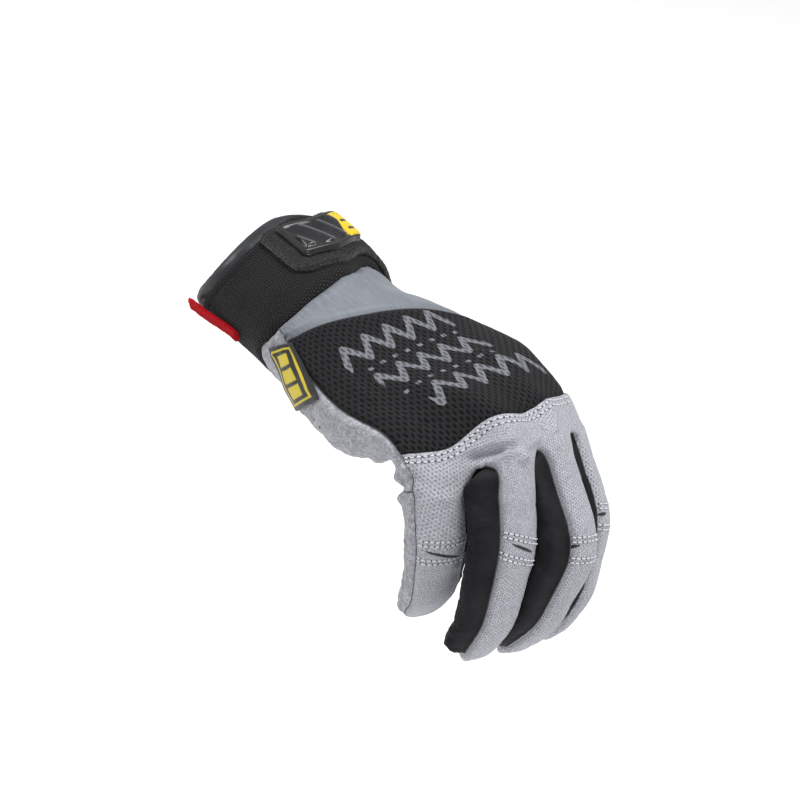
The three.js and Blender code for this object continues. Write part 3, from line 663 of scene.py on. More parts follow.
def make_thumb():
    hole = thumb_hole()
    count = len(hole)
    wide = HOLE_ROWS[1] - HOLE_ROWS[0]
    deep = HOLE_COLUMNS[1] - HOLE_COLUMNS[0]
    top = wide // 2
    split = wide + deep // 2
    centres = [
        np.array([t.along * HAND_LENGTH, t.across * HAND_WIDTH, t.rise * HAND_WIDTH])
        for t in THUMB_RINGS
    ]
    drop = points[index[hole[top + wide + deep]]] - points[index[hole[top]]]
    last = hole
    for r, row in enumerate(THUMB_RINGS):
        centre = centres[r]
        along = unit(centres[min(r + 1, len(centres) - 1)] - centres[max(r - 1, 0)])
        down = unit(drop - along * drop.dot(along))
        side = np.cross(along, down)
        radius = row.radius * FINGER_RADIUS
        keys = []
        for i in range(count):
            angle = 2 * math.pi * (i - top) / count
            keys.append(("thumb", r, i))
            add_point(keys[i], centre + radius * (side * math.sin(angle) - down * math.cos(angle)))
        for i, key in enumerate(keys):
            after = (i + 1) % count
            panel = "thumb_front" if split <= i < split + count / 2 else "thumb_back"
            add_cell([last[i], key, keys[after], last[after]], panel)
        last = keys

    def middle(x, y):
        dome = THUMB_DOME * FINGER_RADIUS * (1 - (x * x + y * y) / 3)
        return centre + (side * x - down * y) * radius * THUMB_END + along * dome

    def panel_of(v):
        return "thumb_back" if v < deep / 2 else "thumb_front"

    add_tip("thumb", last, wide, deep, middle, panel_of)


make_hand()
even_hand()
make_webs()
for k in range(4):
    make_finger_tube(k)
make_thumb()

PANELS = sorted({cell.panel for cell in cells})
panel_number = {name: i for i, name in enumerate(PANELS)}

# The net as a dense surface

LEVEL = 3


def net_object(level):
    """The net as an object in millimetres, subdivided."""
    mesh = bpy.data.meshes.new("net")
    mesh.from_pydata([tuple(p) for p in points], [], [cell.corners for cell in cells])
    obj = add_object("net", mesh)
    subsurf = obj.modifiers.new("subdivide", "SUBSURF")
    subsurf.levels = subsurf.render_levels = level
    return obj


def evaluated(obj):
    depsgraph = bpy.context.evaluated_depsgraph_get()
    return bpy.data.meshes.new_from_object(obj.evaluated_get(depsgraph))


def positions(mesh):
    flat = np.empty(len(mesh.vertices) * 3)
    mesh.vertices.foreach_get("co", flat)
    return flat.reshape(-1, 3)


def fit_net():
    """Moves the net's points so that the subdivided surface passes through the CAD's points."""
    wanted = np.array(points)
    for _ in range(2):
        obj = net_object(1)
        reached = positions(evaluated(obj))[:len(points)]
        bpy.data.objects.remove(obj)
        for i, step in enumerate(wanted - reached):
            points[i] = points[i] + step


def unwrap(obj):
    """Lays each panel out flat, with the cloth's grain upward and in millimetres."""
    mesh = obj.data
    panel = [panel_number[cell.panel] for cell in cells]
    sides = {}
    for face in mesh.polygons:
        for key in face.edge_keys:
            sides.setdefault(key, set()).add(panel[face.index])
    for edge in mesh.edges:
        edge.use_seam = len(sides[edge.key]) > 1
    bpy.context.view_layer.objects.active = obj
    obj.select_set(True)
    bpy.ops.object.mode_set(mode="EDIT")
    bpy.ops.mesh.select_all(action="SELECT")
    bpy.ops.uv.unwrap(method="ANGLE_BASED", margin=0.02)
    bpy.ops.object.mode_set(mode="OBJECT")
    layer = mesh.uv_layers.active.data
    flat = np.empty(len(layer) * 2)
    layer.foreach_get("uv", flat)
    uv = flat.reshape(-1, 4, 2)
    place = np.array(points)[np.array([cell.corners for cell in cells])]
    number = np.array(panel)
    straight = np.array([cell.straight for cell in cells])

    def area(a, b, c, d):
        cross = np.cross(c - a, d - b)
        return np.abs(cross) / 2 if cross.ndim == 1 else np.linalg.norm(cross, axis=1) / 2

    real = area(*place.transpose(1, 0, 2))
    laid = area(*uv.transpose(1, 0, 2))
    for i in range(len(PANELS)):
        own = number == i
        grain = (uv[own & straight][:, 1] - uv[own & straight][:, 0]).mean(axis=0)
        grain /= np.linalg.norm(grain)
        turn = np.array([[grain[1], grain[0]], [-grain[0], grain[1]]])
        scale = math.sqrt(real[own].sum() / laid[own].sum())
        middle = uv[own].reshape(-1, 2).mean(axis=0)
        uv[own] = (uv[own] - middle) @ turn * scale
    layer.foreach_set("uv", uv.ravel())


fit_net()
net = net_object(LEVEL)
unwrap(net)
dense = evaluated(net)
bpy.data.objects.remove(net)

base = positions(dense)
quads = np.empty(len(dense.polygons) * 4, dtype=np.int32)
dense.polygons.foreach_get("vertices", quads)
quads = quads.reshape(-1, 4)
quad_uv = np.empty(len(quads) * 8)
dense.uv_layers.active.data.foreach_get("uv", quad_uv)
quad_uv = quad_uv.reshape(-1, 4, 2)
quad_panel = np.repeat([panel_number[cell.panel] for cell in cells], 4 ** LEVEL)


def vertex_normals(place, faces):
    a, b, c, d = (place[faces[:, i]] for i in range(4))
    cross = np.cross(c - a, d - b)
    total = np.zeros_like(place)
    for i in range(4):
        np.add.at(total, faces[:, i], cross)
    return total / np.maximum(np.linalg.norm(total, axis=1, keepdims=True), 1e-12)


normals = vertex_normals(base, quads)
surface = BVHTree.FromPolygons([tuple(p) for p in base], quads.tolist())


# The camera, which also places what the photograph shows

def camera_axes():
    azimuth, elevation, roll = map(radians, (CAMERA_AZIMUTH, CAMERA_ELEVATION, CAMERA_ROLL))
    back = direction(azimuth, elevation)
    level = unit(np.cross(-back, [0, 0, 1]))
    upright = np.cross(level, -back)
    right = level * math.cos(roll) + upright * math.sin(roll)
    return right, np.cross(back, right), back


CAMERA_RIGHT, CAMERA_UP, CAMERA_BACK = camera_axes()
EYE = np.array(CAMERA_TARGET) + CAMERA_BACK * CAMERA_DISTANCE


def seen_at(pixel, tree=surface):
    """Point of a surface that shows at a pixel of the photograph, or else lies nearest to it."""
    ray = unit(
        CAMERA_RIGHT * (pixel[0] - CENTRE_PIXEL[0])
        - CAMERA_UP * (pixel[1] - CENTRE_PIXEL[1])
        - CAMERA_BACK * FOCAL_PIXELS
    )
    hit, _, _, _ = tree.ray_cast(Vector(EYE), Vector(ray))
    if hit is not None:
        return np.array(hit)
    away = base - EYE
    away = away - np.outer(away @ ray, ray)
    return base[np.argmin((away * away).sum(axis=1))]


def make_camera():
    data = bpy.data.cameras.new("camera")
    data.sensor_width = SENSOR
    data.lens = FOCAL_PIXELS * SENSOR / PICTURE
    data.shift_x = (PICTURE / 2 - CENTRE_PIXEL[0]) / PICTURE
    data.shift_y = (CENTRE_PIXEL[1] - PICTURE / 2) / PICTURE
    data.clip_start, data.clip_end = 0.01, 20
    camera = add_object("camera", data)
    axes = Matrix([CAMERA_RIGHT, CAMERA_UP, CAMERA_BACK]).transposed()
    camera.matrix_world = Matrix.Translation(Vector(EYE) * MM) @ axes.to_4x4()
    bpy.context.scene.camera = camera


# Seams: where two panels meet

def edge_table():
    """Edges of the dense surface where two panels meet, or where it ends."""
    sides = {}
    for face, corners in enumerate(quads.tolist()):
        number = quad_panel[face]
        for a, b in zip(corners, corners[1:] + corners[:1]):
            sides.setdefault((min(a, b), max(a, b)), []).append(number)
    return {edge: on for edge, on in sides.items() if len(on) == 1 or on[0] != on[1]}


seam_edges = edge_table()


def seam_line(first, second):
    """Vertices of the seam between two panels, in order; a seam in several parts gives several."""
    wanted = {panel_number[first], panel_number[second]}
    near = {}
    for (a, b), on in seam_edges.items():
        if set(on) == wanted:
            near.setdefault(a, []).append(b)
            near.setdefault(b, []).append(a)
    lines = []
    while near:
        start = next((v for v, others in near.items() if len(others) == 1), next(iter(near)))
        line = [start]
        while True:
            others = [v for v in near[line[-1]] if v not in line[-2:]]
            if not others or others[0] in line:
                break
            line.append(others[0])
        for v in line:
            near.pop(v)
        lines.append(line)
    return lines


# Depth of the valley at a seam, and how far it reaches, by the kinds of panels that meet. The cloth
# swells again beside the valley, and rises where it laps over another panel
PLAIN_SEAM = (0.95, 1.25)
FLAT_SEAM = (0.0, 1.0)
LAP_TOP = (0.1, 0.7)
LAP_UNDER = (0.55, 1.6)
LAP_RISE = 0.45
LAP_REACH = 12
BESIDE_SWELL = 0.22
BESIDE_AT = 2.3


def seam_kind(panel, other):
    names = {PANELS[panel], PANELS[other]}
    if names == {"knuckle_panel", "back_panel"}:
        return LAP_TOP if PANELS[panel] == "knuckle_panel" else LAP_UNDER
    if "knuckle_panel" in names and any(name.startswith("finger_back") for name in names):
        return FLAT_SEAM
    return PLAIN_SEAM


def segment_distance(p, a, b):
    along = b - a
    length = np.maximum((along * along).sum(axis=1), 1e-12)
    t = np.clip(((p - a) * along).sum(axis=1) / length, 0, 1)
    return np.linalg.norm(p - a - along * t[:, None], axis=1)


def seam_drop(panel, used):
    """How far each used vertex of a panel sinks towards its seams."""
    groups = {}
    for (a, b), on in seam_edges.items():
        if panel in on:
            other = on[0] if on[-1] == panel else on[-1]
            kind = seam_kind(panel, other) if len(on) == 2 else PLAIN_SEAM
            groups.setdefault(kind, []).append((a, b))
    drop = np.zeros(len(used))
    for (depth, reach), edges in groups.items():
        if depth == 0:
            continue
        edges = np.array(edges)
        middles = (base[edges[:, 0]] + base[edges[:, 1]]) / 2
        tree = KDTree(len(edges))
        for i, middle in enumerate(middles):
            tree.insert(middle, i)
        tree.balance()
        distance = np.full(len(used), 1e9)
        closest = [[i for _, i, _ in tree.find_n(base[v], 2)] for v in used]
        for choice in np.array(closest).T:
            a, b = base[edges[choice, 0]], base[edges[choice, 1]]
            distance = np.minimum(distance, segment_distance(base[used], a, b))
        drop += depth * np.exp(-((distance / reach) ** 2))
        drop -= BESIDE_SWELL * depth * np.exp(-((distance / reach - BESIDE_AT) ** 2))
        if (depth, reach) == LAP_TOP:
            drop -= LAP_RISE * np.exp(-((distance / (LAP_REACH * reach)) ** 2))
    return drop


# Folds that the photograph shows, from pixel to pixel: half width and height in millimetres
Fold = namedtuple("Fold", "start end width height")
FOLDS = [
    # knuckles: the cloth pulls between the little, ring and middle fingers
    Fold((482, 465), (526, 457), 2.5, 2.5),
    Fold((472, 458), (514, 446), 2.2, -2.2),
    Fold((446, 456), (476, 446), 3.0, 0.7),
    Fold((548, 402), (556, 430), 2.4, 0.9),
    Fold((536, 408), (544, 436), 1.8, -0.6),
    Fold((520, 452), (541, 436), 2.2, 0.9),
    Fold((566, 402), (578, 440), 2.2, 0.6),
    Fold((428, 500), (456, 496), 3.5, 0.5),
    Fold((500, 498), (528, 502), 2.6, 0.6),
    Fold((502, 512), (526, 518), 2.2, -0.5),
    # joints: swells above and below the slits
    Fold((414, 534), (460, 530), 2.6, 0.5),
    Fold((412, 568), (458, 566), 3.0, 0.6),
    Fold((508, 566), (530, 574), 2.6, 0.6),
    Fold((562, 536), (582, 524), 2.4, 0.5),
    # little-finger side of the palm: the suede bunches up towards the knuckle
    Fold((352, 452), (380, 434), 3.2, 2.0),
    Fold((364, 460), (394, 444), 2.0, -1.0),
    Fold((376, 464), (402, 450), 2.8, 1.8),
    Fold((390, 480), (408, 466), 2.8, 1.8),
    Fold((392, 490), (408, 477), 1.8, -0.8),
    Fold((398, 500), (414, 488), 2.8, 1.3),
    Fold((330, 436), (356, 424), 2.8, 1.4),
    Fold((320, 428), (342, 412), 1.8, -0.6),
    Fold((300, 412), (326, 402), 2.2, 0.8),
    # wrist: the suede gathers below the cuff
    Fold((262, 372), (280, 350), 1.6, 0.8),
    Fold((270, 384), (292, 364), 1.5, 0.6),
    Fold((360, 263), (368, 282), 1.2, 0.6),
    Fold((351, 266), (360, 288), 1.1, 0.5),
    Fold((368, 262), (378, 278), 1.0, 0.5),
    Fold((340, 272), (352, 296), 1.2, 0.35),
    # little finger: puckers along its side seam
    Fold((408, 505), (424, 501), 2.0, 0.5),
    Fold((408, 522), (422, 520), 2.0, 0.5),
    Fold((408, 545), (420, 545), 1.4, 0.5),
    # mesh: a short seam, and soft hollows
    Fold((396, 443), (434, 418), 0.9, -1.1),
    Fold((330, 372), (372, 398), 4.0, 0.6),
    Fold((372, 330), (420, 336), 4.5, -0.5),
    Fold((470, 350), (520, 366), 4.0, 0.6),
]


def folds(place):
    """Height of the placed folds at each point: a crest with a shallow valley on both sides."""
    total = np.zeros(len(place))
    for fold in FOLDS:
        a, b = seen_at(fold.start), seen_at(fold.end)
        along = b - a
        t = ((place - a) @ along) / (along @ along)
        inside = np.clip(t, 0, 1)
        away = np.linalg.norm(place - a - np.outer(inside, along), axis=1) / fold.width
        taper = np.clip(np.minimum(t + 0.35, 1.35 - t) / 0.5, 0, 1)
        taper = taper * taper * (3 - 2 * taper)
        total += fold.height * taper * (1 - 1.1 * away ** 2) * np.exp(-(away ** 2))
    return total


# Folds across the front of each joint, where the cloth is pressed together: place and height, then
# how wide they are and how far they reach
JOINT_FOLDS = [(-5.5, 0.45), (-1.5, 0.8), (2.5, 0.7), (6.5, 0.4)]
JOINT_FOLD = 1.5
JOINT_REACH = 2.2 * FINGER_RADIUS


def joint_folds(name, place):
    finger = next(f for f in fingers if f.name == name)
    total = np.zeros(len(place))
    for joint in finger.joints[1:3]:
        for shift, height in JOINT_FOLDS:
            centre, along, up = finger.frame(joint + shift)
            away = ((place - centre) @ along / JOINT_FOLD) ** 2
            near = np.linalg.norm(place - centre, axis=1) < JOINT_REACH
            front = np.clip(-((place - centre) @ up) / FINGER_RADIUS, 0, 1)
            total += near * front * height * (1 - 0.8 * away) * np.exp(-away)
    return total


# Kinds of cloth: wall, height and size of the uneven swells, how much longer they are across the
# glove, and depth of the fine creases, in millimetres
Cloth = namedtuple("Cloth", "wall swell size stretch crease")
SUEDE = Cloth(LEATHER, 0.55, 9, 2.2, 0.7)
PADDED = Cloth(STRETCH, 0.3, 12, 1.6, 0.22)
MESH = Cloth(STRETCH, 0.35, 14, 1.5, 0)
SATIN = Cloth(STRETCH, 0.22, 9, 2.5, 0.1)
ELASTIC = Cloth(LEATHER, 0.6, 7, 0.5, 0.4)


def cloth_of(name):
    if name.startswith(("palm", "finger_front", "thumb_front")):
        return SUEDE
    if name.startswith("fourchette"):
        return ELASTIC
    return {"back_panel": MESH, "wrist_panel": SATIN}.get(name, PADDED)


def swells(place, cloth, seed):
    """Uneven swells of the cloth, longer across the glove than along it."""
    shift = Vector((seed * 17.3, seed * 5.1, 0))
    scale = np.array([1, 1 / cloth.stretch, 1 / cloth.stretch]) / cloth.size
    heights = []
    for spot in place * scale:
        p = Vector(spot)
        height = noise.noise(p + shift) + 0.5 * noise.noise(p * 2.3 + shift)
        fold = 1 - abs(noise.noise(p * 1.6 - shift))
        heights.append(cloth.swell * height - cloth.crease * fold ** 8)
    return np.array(heights)


# The stretch cloth between the fingers swells into the space there, by other heights on the side of
# the finger nearer to the index and on that nearer to the little finger
FILL = {"fourchette_1": (6.2, 2.5), "fourchette_2": (6, 5), "fourchette_3": (0.8, 0.8)}
FILL_REACH = 2.5


def fill(panel, used):
    """Swell of a fourchette: nothing at its seams, and FILL on the sides of the two fingers."""
    tree = KDTree(len(seam_edges))
    for i, ((a, b), on) in enumerate(seam_edges.items()):
        tree.insert((base[a] + base[b]) / 2 if panel in on else (1e4, 0, 0), i)
    tree.balance()
    distance = np.array([tree.find(base[v])[2] for v in used])
    finger = fingers[int(PANELS[panel][-1])]
    facing = normals[used] @ finger.side
    upper, lower = FILL[PANELS[panel]]
    swell = np.where(facing < 0, upper, lower) * np.clip(abs(facing), 0.15, 1)
    return swell * (1 - np.exp(-((distance / FILL_REACH) ** 2)))


def shape_panel(name):
    """A panel's own vertices, moved by its seams, folds and swells, with the faces that use them."""
    number = panel_number[name]
    own = quad_panel == number
    used, local = np.unique(quads[own], return_inverse=True)
    place = base[used]
    drop = seam_drop(number, used)
    height = swells(place, cloth_of(name), 1) + folds(place) - drop
    if name in FILL:
        height += fill(number, used)
    if name.startswith("finger_front"):
        height += joint_folds(name.rsplit("_", 1)[1], place)
    return place + normals[used] * height[:, None], used, local.reshape(-1, 4), quad_uv[own]


def mesh_piece(name, place, faces, uv=None, material=None, sharp=50):
    """An object made from points in millimetres."""
    mesh = bpy.data.meshes.new(name)
    mesh.from_pydata((np.asarray(place) * MM).tolist(), [], [list(map(int, f)) for f in faces])
    if uv is not None:
        layer = mesh.uv_layers.new(name="flat")
        layer.data.foreach_set("uv", np.asarray(uv, dtype=np.float64).ravel())
    for face in mesh.polygons:
        face.use_smooth = True
    if sharp:
        mesh.set_sharp_from_angle(angle=radians(sharp))
    mesh.materials.append(material)
    return add_object(name, mesh)


def rim_edges(faces):
    """Edges that only one face uses, each in that face's order."""
    edges = {}
    for corners in faces.tolist():
        for a, b in zip(corners, corners[1:] + corners[:1]):
            if (b, a) in edges:
                edges.pop((b, a))
            else:
                edges[a, b] = True
    return list(edges)


def cloth_piece(name, material):
    """A panel with its wall: the shaped outside, the inside, and the rim between them."""
    place, used, faces, uv = shape_panel(name)
    wall = cloth_of(name).wall
    inside = place - normals[used] * wall
    count = len(place)
    rim = [(b, a, a + count, b + count) for a, b in rim_edges(faces)]
    everything = faces.tolist() + (faces[:, ::-1] + count).tolist() + rim
    all_uv = np.concatenate([uv, uv[:, ::-1], np.zeros((len(rim), 4, 2))])
    piece = mesh_piece(name + "_cloth", np.concatenate([place, inside]), everything, all_uv, material)
    return piece, place, faces, used


# Node building for the finishes

class Finish:
    """A material and the short calls that build its nodes."""

    def __init__(self, name, colour, roughness, sheen=0.0, specular=0.35):
        self.material = bpy.data.materials.new(name)
        self.material.use_nodes = True
        self.tree = self.material.node_tree
        self.shader = self.tree.nodes["Principled BSDF"]
        self.shader.inputs["Base Color"].default_value = (*colour, 1)
        self.shader.inputs["Roughness"].default_value = roughness
        self.shader.inputs["Sheen Weight"].default_value = sheen
        self.shader.inputs["Sheen Roughness"].default_value = 0.4
        self.shader.inputs["Specular IOR Level"].default_value = specular

    def node(self, kind, **values):
        made = self.tree.nodes.new(kind)
        for key, value in values.items():
            setattr(made, key, value)
        return made

    def put(self, socket, value):
        if isinstance(value, bpy.types.NodeSocket):
            self.tree.links.new(value, socket)
        else:
            socket.default_value = value

    def math(self, operation, *values):
        made = self.node("ShaderNodeMath", operation=operation)
        for socket, value in zip(made.inputs, values):
            self.put(socket, value)
        return made.outputs[0]

    def times(self, first, *others):
        for other in others:
            first = self.math("MULTIPLY", first, other)
        return first

    def ripple(self, value, pitch):
        return self.math("SINE", self.math("MULTIPLY", value, 2 * math.pi / pitch))

    def flat(self):
        """The cloth's own two directions, in millimetres."""
        split = self.node("ShaderNodeSeparateXYZ")
        self.put(split.inputs[0], self.node("ShaderNodeTexCoord").outputs["UV"])
        return split.outputs[0], split.outputs[1]

    def vector(self, x, y, z=0.0):
        made = self.node("ShaderNodeCombineXYZ")
        for socket, value in zip(made.inputs, (x, y, z)):
            self.put(socket, value)
        return made.outputs[0]

    def object_place(self):
        return self.node("ShaderNodeTexCoord").outputs["Object"]

    def noise(self, place, scale, detail=3.0, roughness=0.5):
        made = self.node("ShaderNodeTexNoise")
        self.put(made.inputs["Vector"], place)
        made.inputs["Scale"].default_value = scale
        made.inputs["Detail"].default_value = detail
        made.inputs["Roughness"].default_value = roughness
        return made.outputs["Fac"]

    def between(self, value, low, high, to_low=0.0, to_high=1.0):
        made = self.node("ShaderNodeMapRange", interpolation_type="SMOOTHSTEP")
        for socket, entry in zip(made.inputs, (value, low, high, to_low, to_high)):
            self.put(socket, entry)
        return made.outputs[0]

    def band(self, value, low, high, edge):
        """1 from low to high, with soft edges, and 0 outside."""
        rise = self.between(value, low - edge, low + edge)
        return self.times(rise, self.between(value, high + edge, high - edge))

    def mix(self, share, first, second):
        made = self.node("ShaderNodeMix", data_type="RGBA")
        self.put(made.inputs["Factor"], share)
        for name, value in (("A", first), ("B", second)):
            socket = next(s for s in made.inputs if s.name == name and s.type == "RGBA")
            self.put(socket, value if isinstance(value, bpy.types.NodeSocket) else (*value, 1))
        return next(s for s in made.outputs if s.type == "RGBA")

    def blend(self, value, low, high, first, second, most=1.0):
        """The first colour below low, the second above high, or as much of it as most says."""
        return self.mix(self.between(value, low, high, 0.0, most), first, second)

    def lattice(self, u, v, wide, high, shift=0.5):
        """Place inside each cell of a staggered grid, from -0.5 to 0.5, with the column's parity."""
        across = self.math("DIVIDE", u, wide)
        column = self.math("FLOOR", across)
        odd = self.math("MODULO", self.math("ABSOLUTE", column), 2.0)
        along = self.math("MULTIPLY_ADD", odd, shift, self.math("DIVIDE", v, high))
        x = self.math("SUBTRACT", self.math("FRACT", across), 0.5)
        y = self.math("SUBTRACT", self.math("FRACT", along), 0.5)
        return x, y, odd

    def oval(self, x, y, half_x, half_y, edge=0.5):
        """1 inside an oval of the given half sizes, 0 outside."""
        squares = [
            self.math("POWER", self.math("DIVIDE", self.math("ABSOLUTE", w), half), 2.0)
            for w, half in ((x, half_x), (y, half_y))
        ]
        return self.between(self.math("ADD", *squares), 1.0, edge)

    def bump(self, *layers):
        """Bumps one on another: pairs of height and depth in millimetres."""
        normal = None
        for height, depth in layers:
            made = self.node("ShaderNodeBump")
            made.inputs["Distance"].default_value = depth * MM
            self.put(made.inputs["Height"], height)
            if normal is not None:
                self.put(made.inputs["Normal"], normal)
            normal = made.outputs[0]
        self.put(self.shader.inputs["Normal"], normal)

    def colour(self, value):
        self.put(self.shader.inputs["Base Color"], value)

    def roughness(self, value):
        self.put(self.shader.inputs["Roughness"], value)


def suede_finish():
    """Synthetic suede: a short nap, heather flecks and soft wear."""
    f = Finish("suede_grey", (0.34, 0.35, 0.38), 0.92, 0.2)
    place = f.object_place()
    fleck = f.noise(place, 1500, 4, 0.7)
    blot = f.noise(place, 620, 3, 0.6)
    cloud = f.noise(place, 90, 3)
    shade = f.blend(fleck, 0.36, 0.64, (0.22, 0.225, 0.25), (0.42, 0.43, 0.46))
    shade = f.blend(blot, 0.42, 0.62, shade, (0.17, 0.175, 0.2), 0.65)
    shade = f.blend(blot, 0.4, 0.28, shade, (0.58, 0.59, 0.62), 0.6)
    f.colour(f.blend(cloud, 0.35, 0.75, shade, (0.3, 0.31, 0.34), 0.35))
    f.roughness(f.between(fleck, 0.2, 0.8, 0.8, 0.98))
    f.bump((f.noise(place, 300, 4, 0.6), 0.4), (blot, 0.25), (fleck, 0.16))
    return f.material


def panel_finish():
    """Synthetic leather for the knuckles: small dents in staggered columns, painted darker as shade,
    over a soft nap.
    """
    f = Finish("panel_grey", (0.33, 0.34, 0.38), 0.8, 0.15)
    u, v = f.flat()
    x, y, _ = f.lattice(u, v, 1.0, 1.35)
    dent = f.oval(x, y, 0.33, 0.36, 0.0)
    place = f.object_place()
    fleck = f.noise(place, 1300, 3, 0.6)
    cloud = f.noise(place, 70, 3)
    ground = f.blend(fleck, 0.35, 0.65, (0.28, 0.285, 0.32), (0.44, 0.45, 0.49))
    # The dents are painted darker: painted shade in the dents
    dent_shade = f.mix(f.math("MULTIPLY", dent, 0.7), ground, (0.17, 0.175, 0.205))
    f.colour(f.blend(cloud, 0.4, 0.8, dent_shade, (0.26, 0.27, 0.305), 0.3))
    f.roughness(f.between(fleck, 0.2, 0.8, 0.68, 0.85))
    f.bump((f.math("MULTIPLY", dent, -1.0), 0.3), (f.noise(place, 420, 3), 0.18))
    return f.material


def satin_finish():
    """Smooth stretch cloth of the wrist panel: fine lines along the hand and a soft shine."""
    f = Finish("satin_grey", (0.2, 0.215, 0.24), 0.45, 0.15)
    u, v = f.flat()
    line = f.ripple(u, 0.7)
    cloud = f.noise(f.object_place(), 60, 3)
    thread = f.noise(f.vector(f.times(u, 2.4), f.times(v, 0.12)), 1.0, 3)
    shade = f.blend(thread, 0.35, 0.65, (0.125, 0.138, 0.16), (0.175, 0.19, 0.215))
    f.colour(f.blend(cloud, 0.4, 0.75, shade, (0.2, 0.215, 0.24), 0.4))
    f.roughness(f.between(thread, 0.3, 0.7, 0.4, 0.55))
    f.bump((line, 0.02), (thread, 0.06))
    return f.material


# The mesh's print, in millimetres: zigzag strokes in rows, with short bars between them. Each row has
# its low edge, height, pitch and stroke, and where it starts and ends across the hand
Zigzag = namedtuple("Zigzag", "low height pitch stroke start end")
ZIGZAGS = [
    Zigzag(11, 13, 11, 2.8, -34, 24),
    Zigzag(-9, 13, 11, 2.8, -23, 30),
    Zigzag(-29, 13, 11, 2.8, -23, 33),
]
BAR_LOWS = (7, -13)
BAR_HEIGHT = 1.7
BAR_PITCH = 6.4
BAR_SHARE = 0.36
BAR_SPAN = (-19.9, 27.9)
PRINT_EDGE = 0.1


def mesh_finish():
    """Knitted mesh: slanted holes in staggered columns between yarns, painted near-black as shade, and
    a grey print.
    """
    f = Finish("mesh_black", (0.02, 0.02, 0.023), 0.75, 0.03, 0.2)
    u, v = f.flat()
    x, y, odd = f.lattice(u, v, 1.8, 3.9)
    slanted = f.math("MULTIPLY_ADD", y, f.math("MULTIPLY_ADD", odd, 0.5, -0.35), x)
    hole = f.oval(slanted, y, 0.34, 0.4, 0.35)
    yarn = f.ripple(f.math("MULTIPLY_ADD", u, 0.45, v), 0.62)
    thread = f.noise(f.vector(f.times(u, 4.0), f.times(v, 1.5)), 1.0, 2)
    shade = f.blend(yarn, -0.6, 0.8, (0.005, 0.005, 0.0062), (0.011, 0.011, 0.0135))
    shade = f.blend(thread, 0.5, 0.75, shade, (0.026, 0.026, 0.03), 0.6)
    # The holes are painted near-black: painted shade in the holes
    shade = f.mix(hole, shade, (0.0015, 0.0015, 0.002))
    marks = []
    for row in ZIGZAGS:
        up = f.math("SUBTRACT", v, row.low)
        fold = f.math("MULTIPLY_ADD", f.math("FRACT", f.math("DIVIDE", u, row.pitch)), 2.0, -1.0)
        line = f.math("MULTIPLY", f.math("ABSOLUTE", fold), row.height - row.stroke)
        off = f.math("ABSOLUTE", f.math("SUBTRACT", f.math("SUBTRACT", up, row.stroke / 2), line))
        reach = row.stroke / 2 * math.hypot(1, 2 * (row.height - row.stroke) / row.pitch)
        marks.append(f.times(
            f.between(off, reach + 0.15, reach - 0.15),
            f.band(up, 0, row.height, PRINT_EDGE),
            f.band(u, row.start + PRINT_EDGE, row.end - PRINT_EDGE, PRINT_EDGE),
        ))
    for low in BAR_LOWS:
        cell = f.math("FRACT", f.math("DIVIDE", u, BAR_PITCH))
        marks.append(f.times(
            f.band(f.math("SUBTRACT", v, low), 0, BAR_HEIGHT, PRINT_EDGE),
            f.band(cell, 0.015, BAR_SHARE + 0.015, 0.015),
            f.band(u, *BAR_SPAN, PRINT_EDGE),
        ))
    printed = marks[0]
    for mark in marks[1:]:
        printed = f.math("MAXIMUM", printed, mark)
    # The print is dimmed in the holes too: painted shade
    printed = f.times(printed, f.math("SUBTRACT", 1.0, f.math("MULTIPLY", hole, 0.55)))
    ink = f.blend(yarn, -0.5, 0.9, (0.15, 0.155, 0.175), (0.22, 0.225, 0.25))
    f.colour(f.mix(printed, shade, ink))
    f.roughness(f.between(hole, 0.0, 1.0, 0.62, 0.95))
    f.bump((f.math("MULTIPLY", hole, -1.0), 0.6), (yarn, 0.07), (thread, 0.12))
    return f.material


def stretch_finish():
    """Black stretch cloth between the fingers."""
    f = Finish("stretch_black", (0.012, 0.012, 0.014), 0.7, 0.01, 0.15)
    u, _ = f.flat()
    place = f.object_place()
    f.colour(f.blend(f.noise(place, 80, 3), 0.35, 0.7, (0.006, 0.006, 0.0075), (0.013, 0.013, 0.015)))
    f.bump((f.ripple(u, 0.8), 0.03), (f.noise(place, 900, 3), 0.06))
    return f.material


def knit_finish():
    """Looped knit of the cuff: leaning loops in staggered columns, painted near-black between the loops
    as shade, with light specks as painted glints.
    """
    f = Finish("knit_black", (0.02, 0.02, 0.021), 0.85, 0.04, 0.2)
    u, v = f.flat()
    x, y, odd = f.lattice(u, v, 1.25, 1.5)
    slanted = f.math("MULTIPLY_ADD", y, f.math("MULTIPLY_ADD", odd, 0.9, -0.45), x)
    loop = f.oval(slanted, y, 0.42, 0.47, 0.0)
    # Light specks on the knit: painted glints
    speck = f.noise(f.object_place(), 2200, 3, 0.7)
    # The gaps between the loops are painted near-black: painted shade
    shade = f.mix(loop, (0.001, 0.001, 0.0015), (0.022, 0.022, 0.0235))
    f.colour(f.blend(speck, 0.52, 0.8, shade, (0.05, 0.05, 0.053), 0.5))
    f.bump((loop, 0.45), (speck, 0.12))
    return f.material


def lining_finish():
    """Smooth dark band inside the opening."""
    f = Finish("lining_black", (0.03, 0.032, 0.036), 0.38, 0.03)
    place = f.object_place()
    cloud = f.noise(place, 90, 3)
    f.colour(f.blend(cloud, 0.3, 0.75, (0.014, 0.015, 0.018), (0.03, 0.032, 0.037)))
    f.bump((f.noise(place, 700, 3), 0.06), (cloud, 0.5))
    return f.material


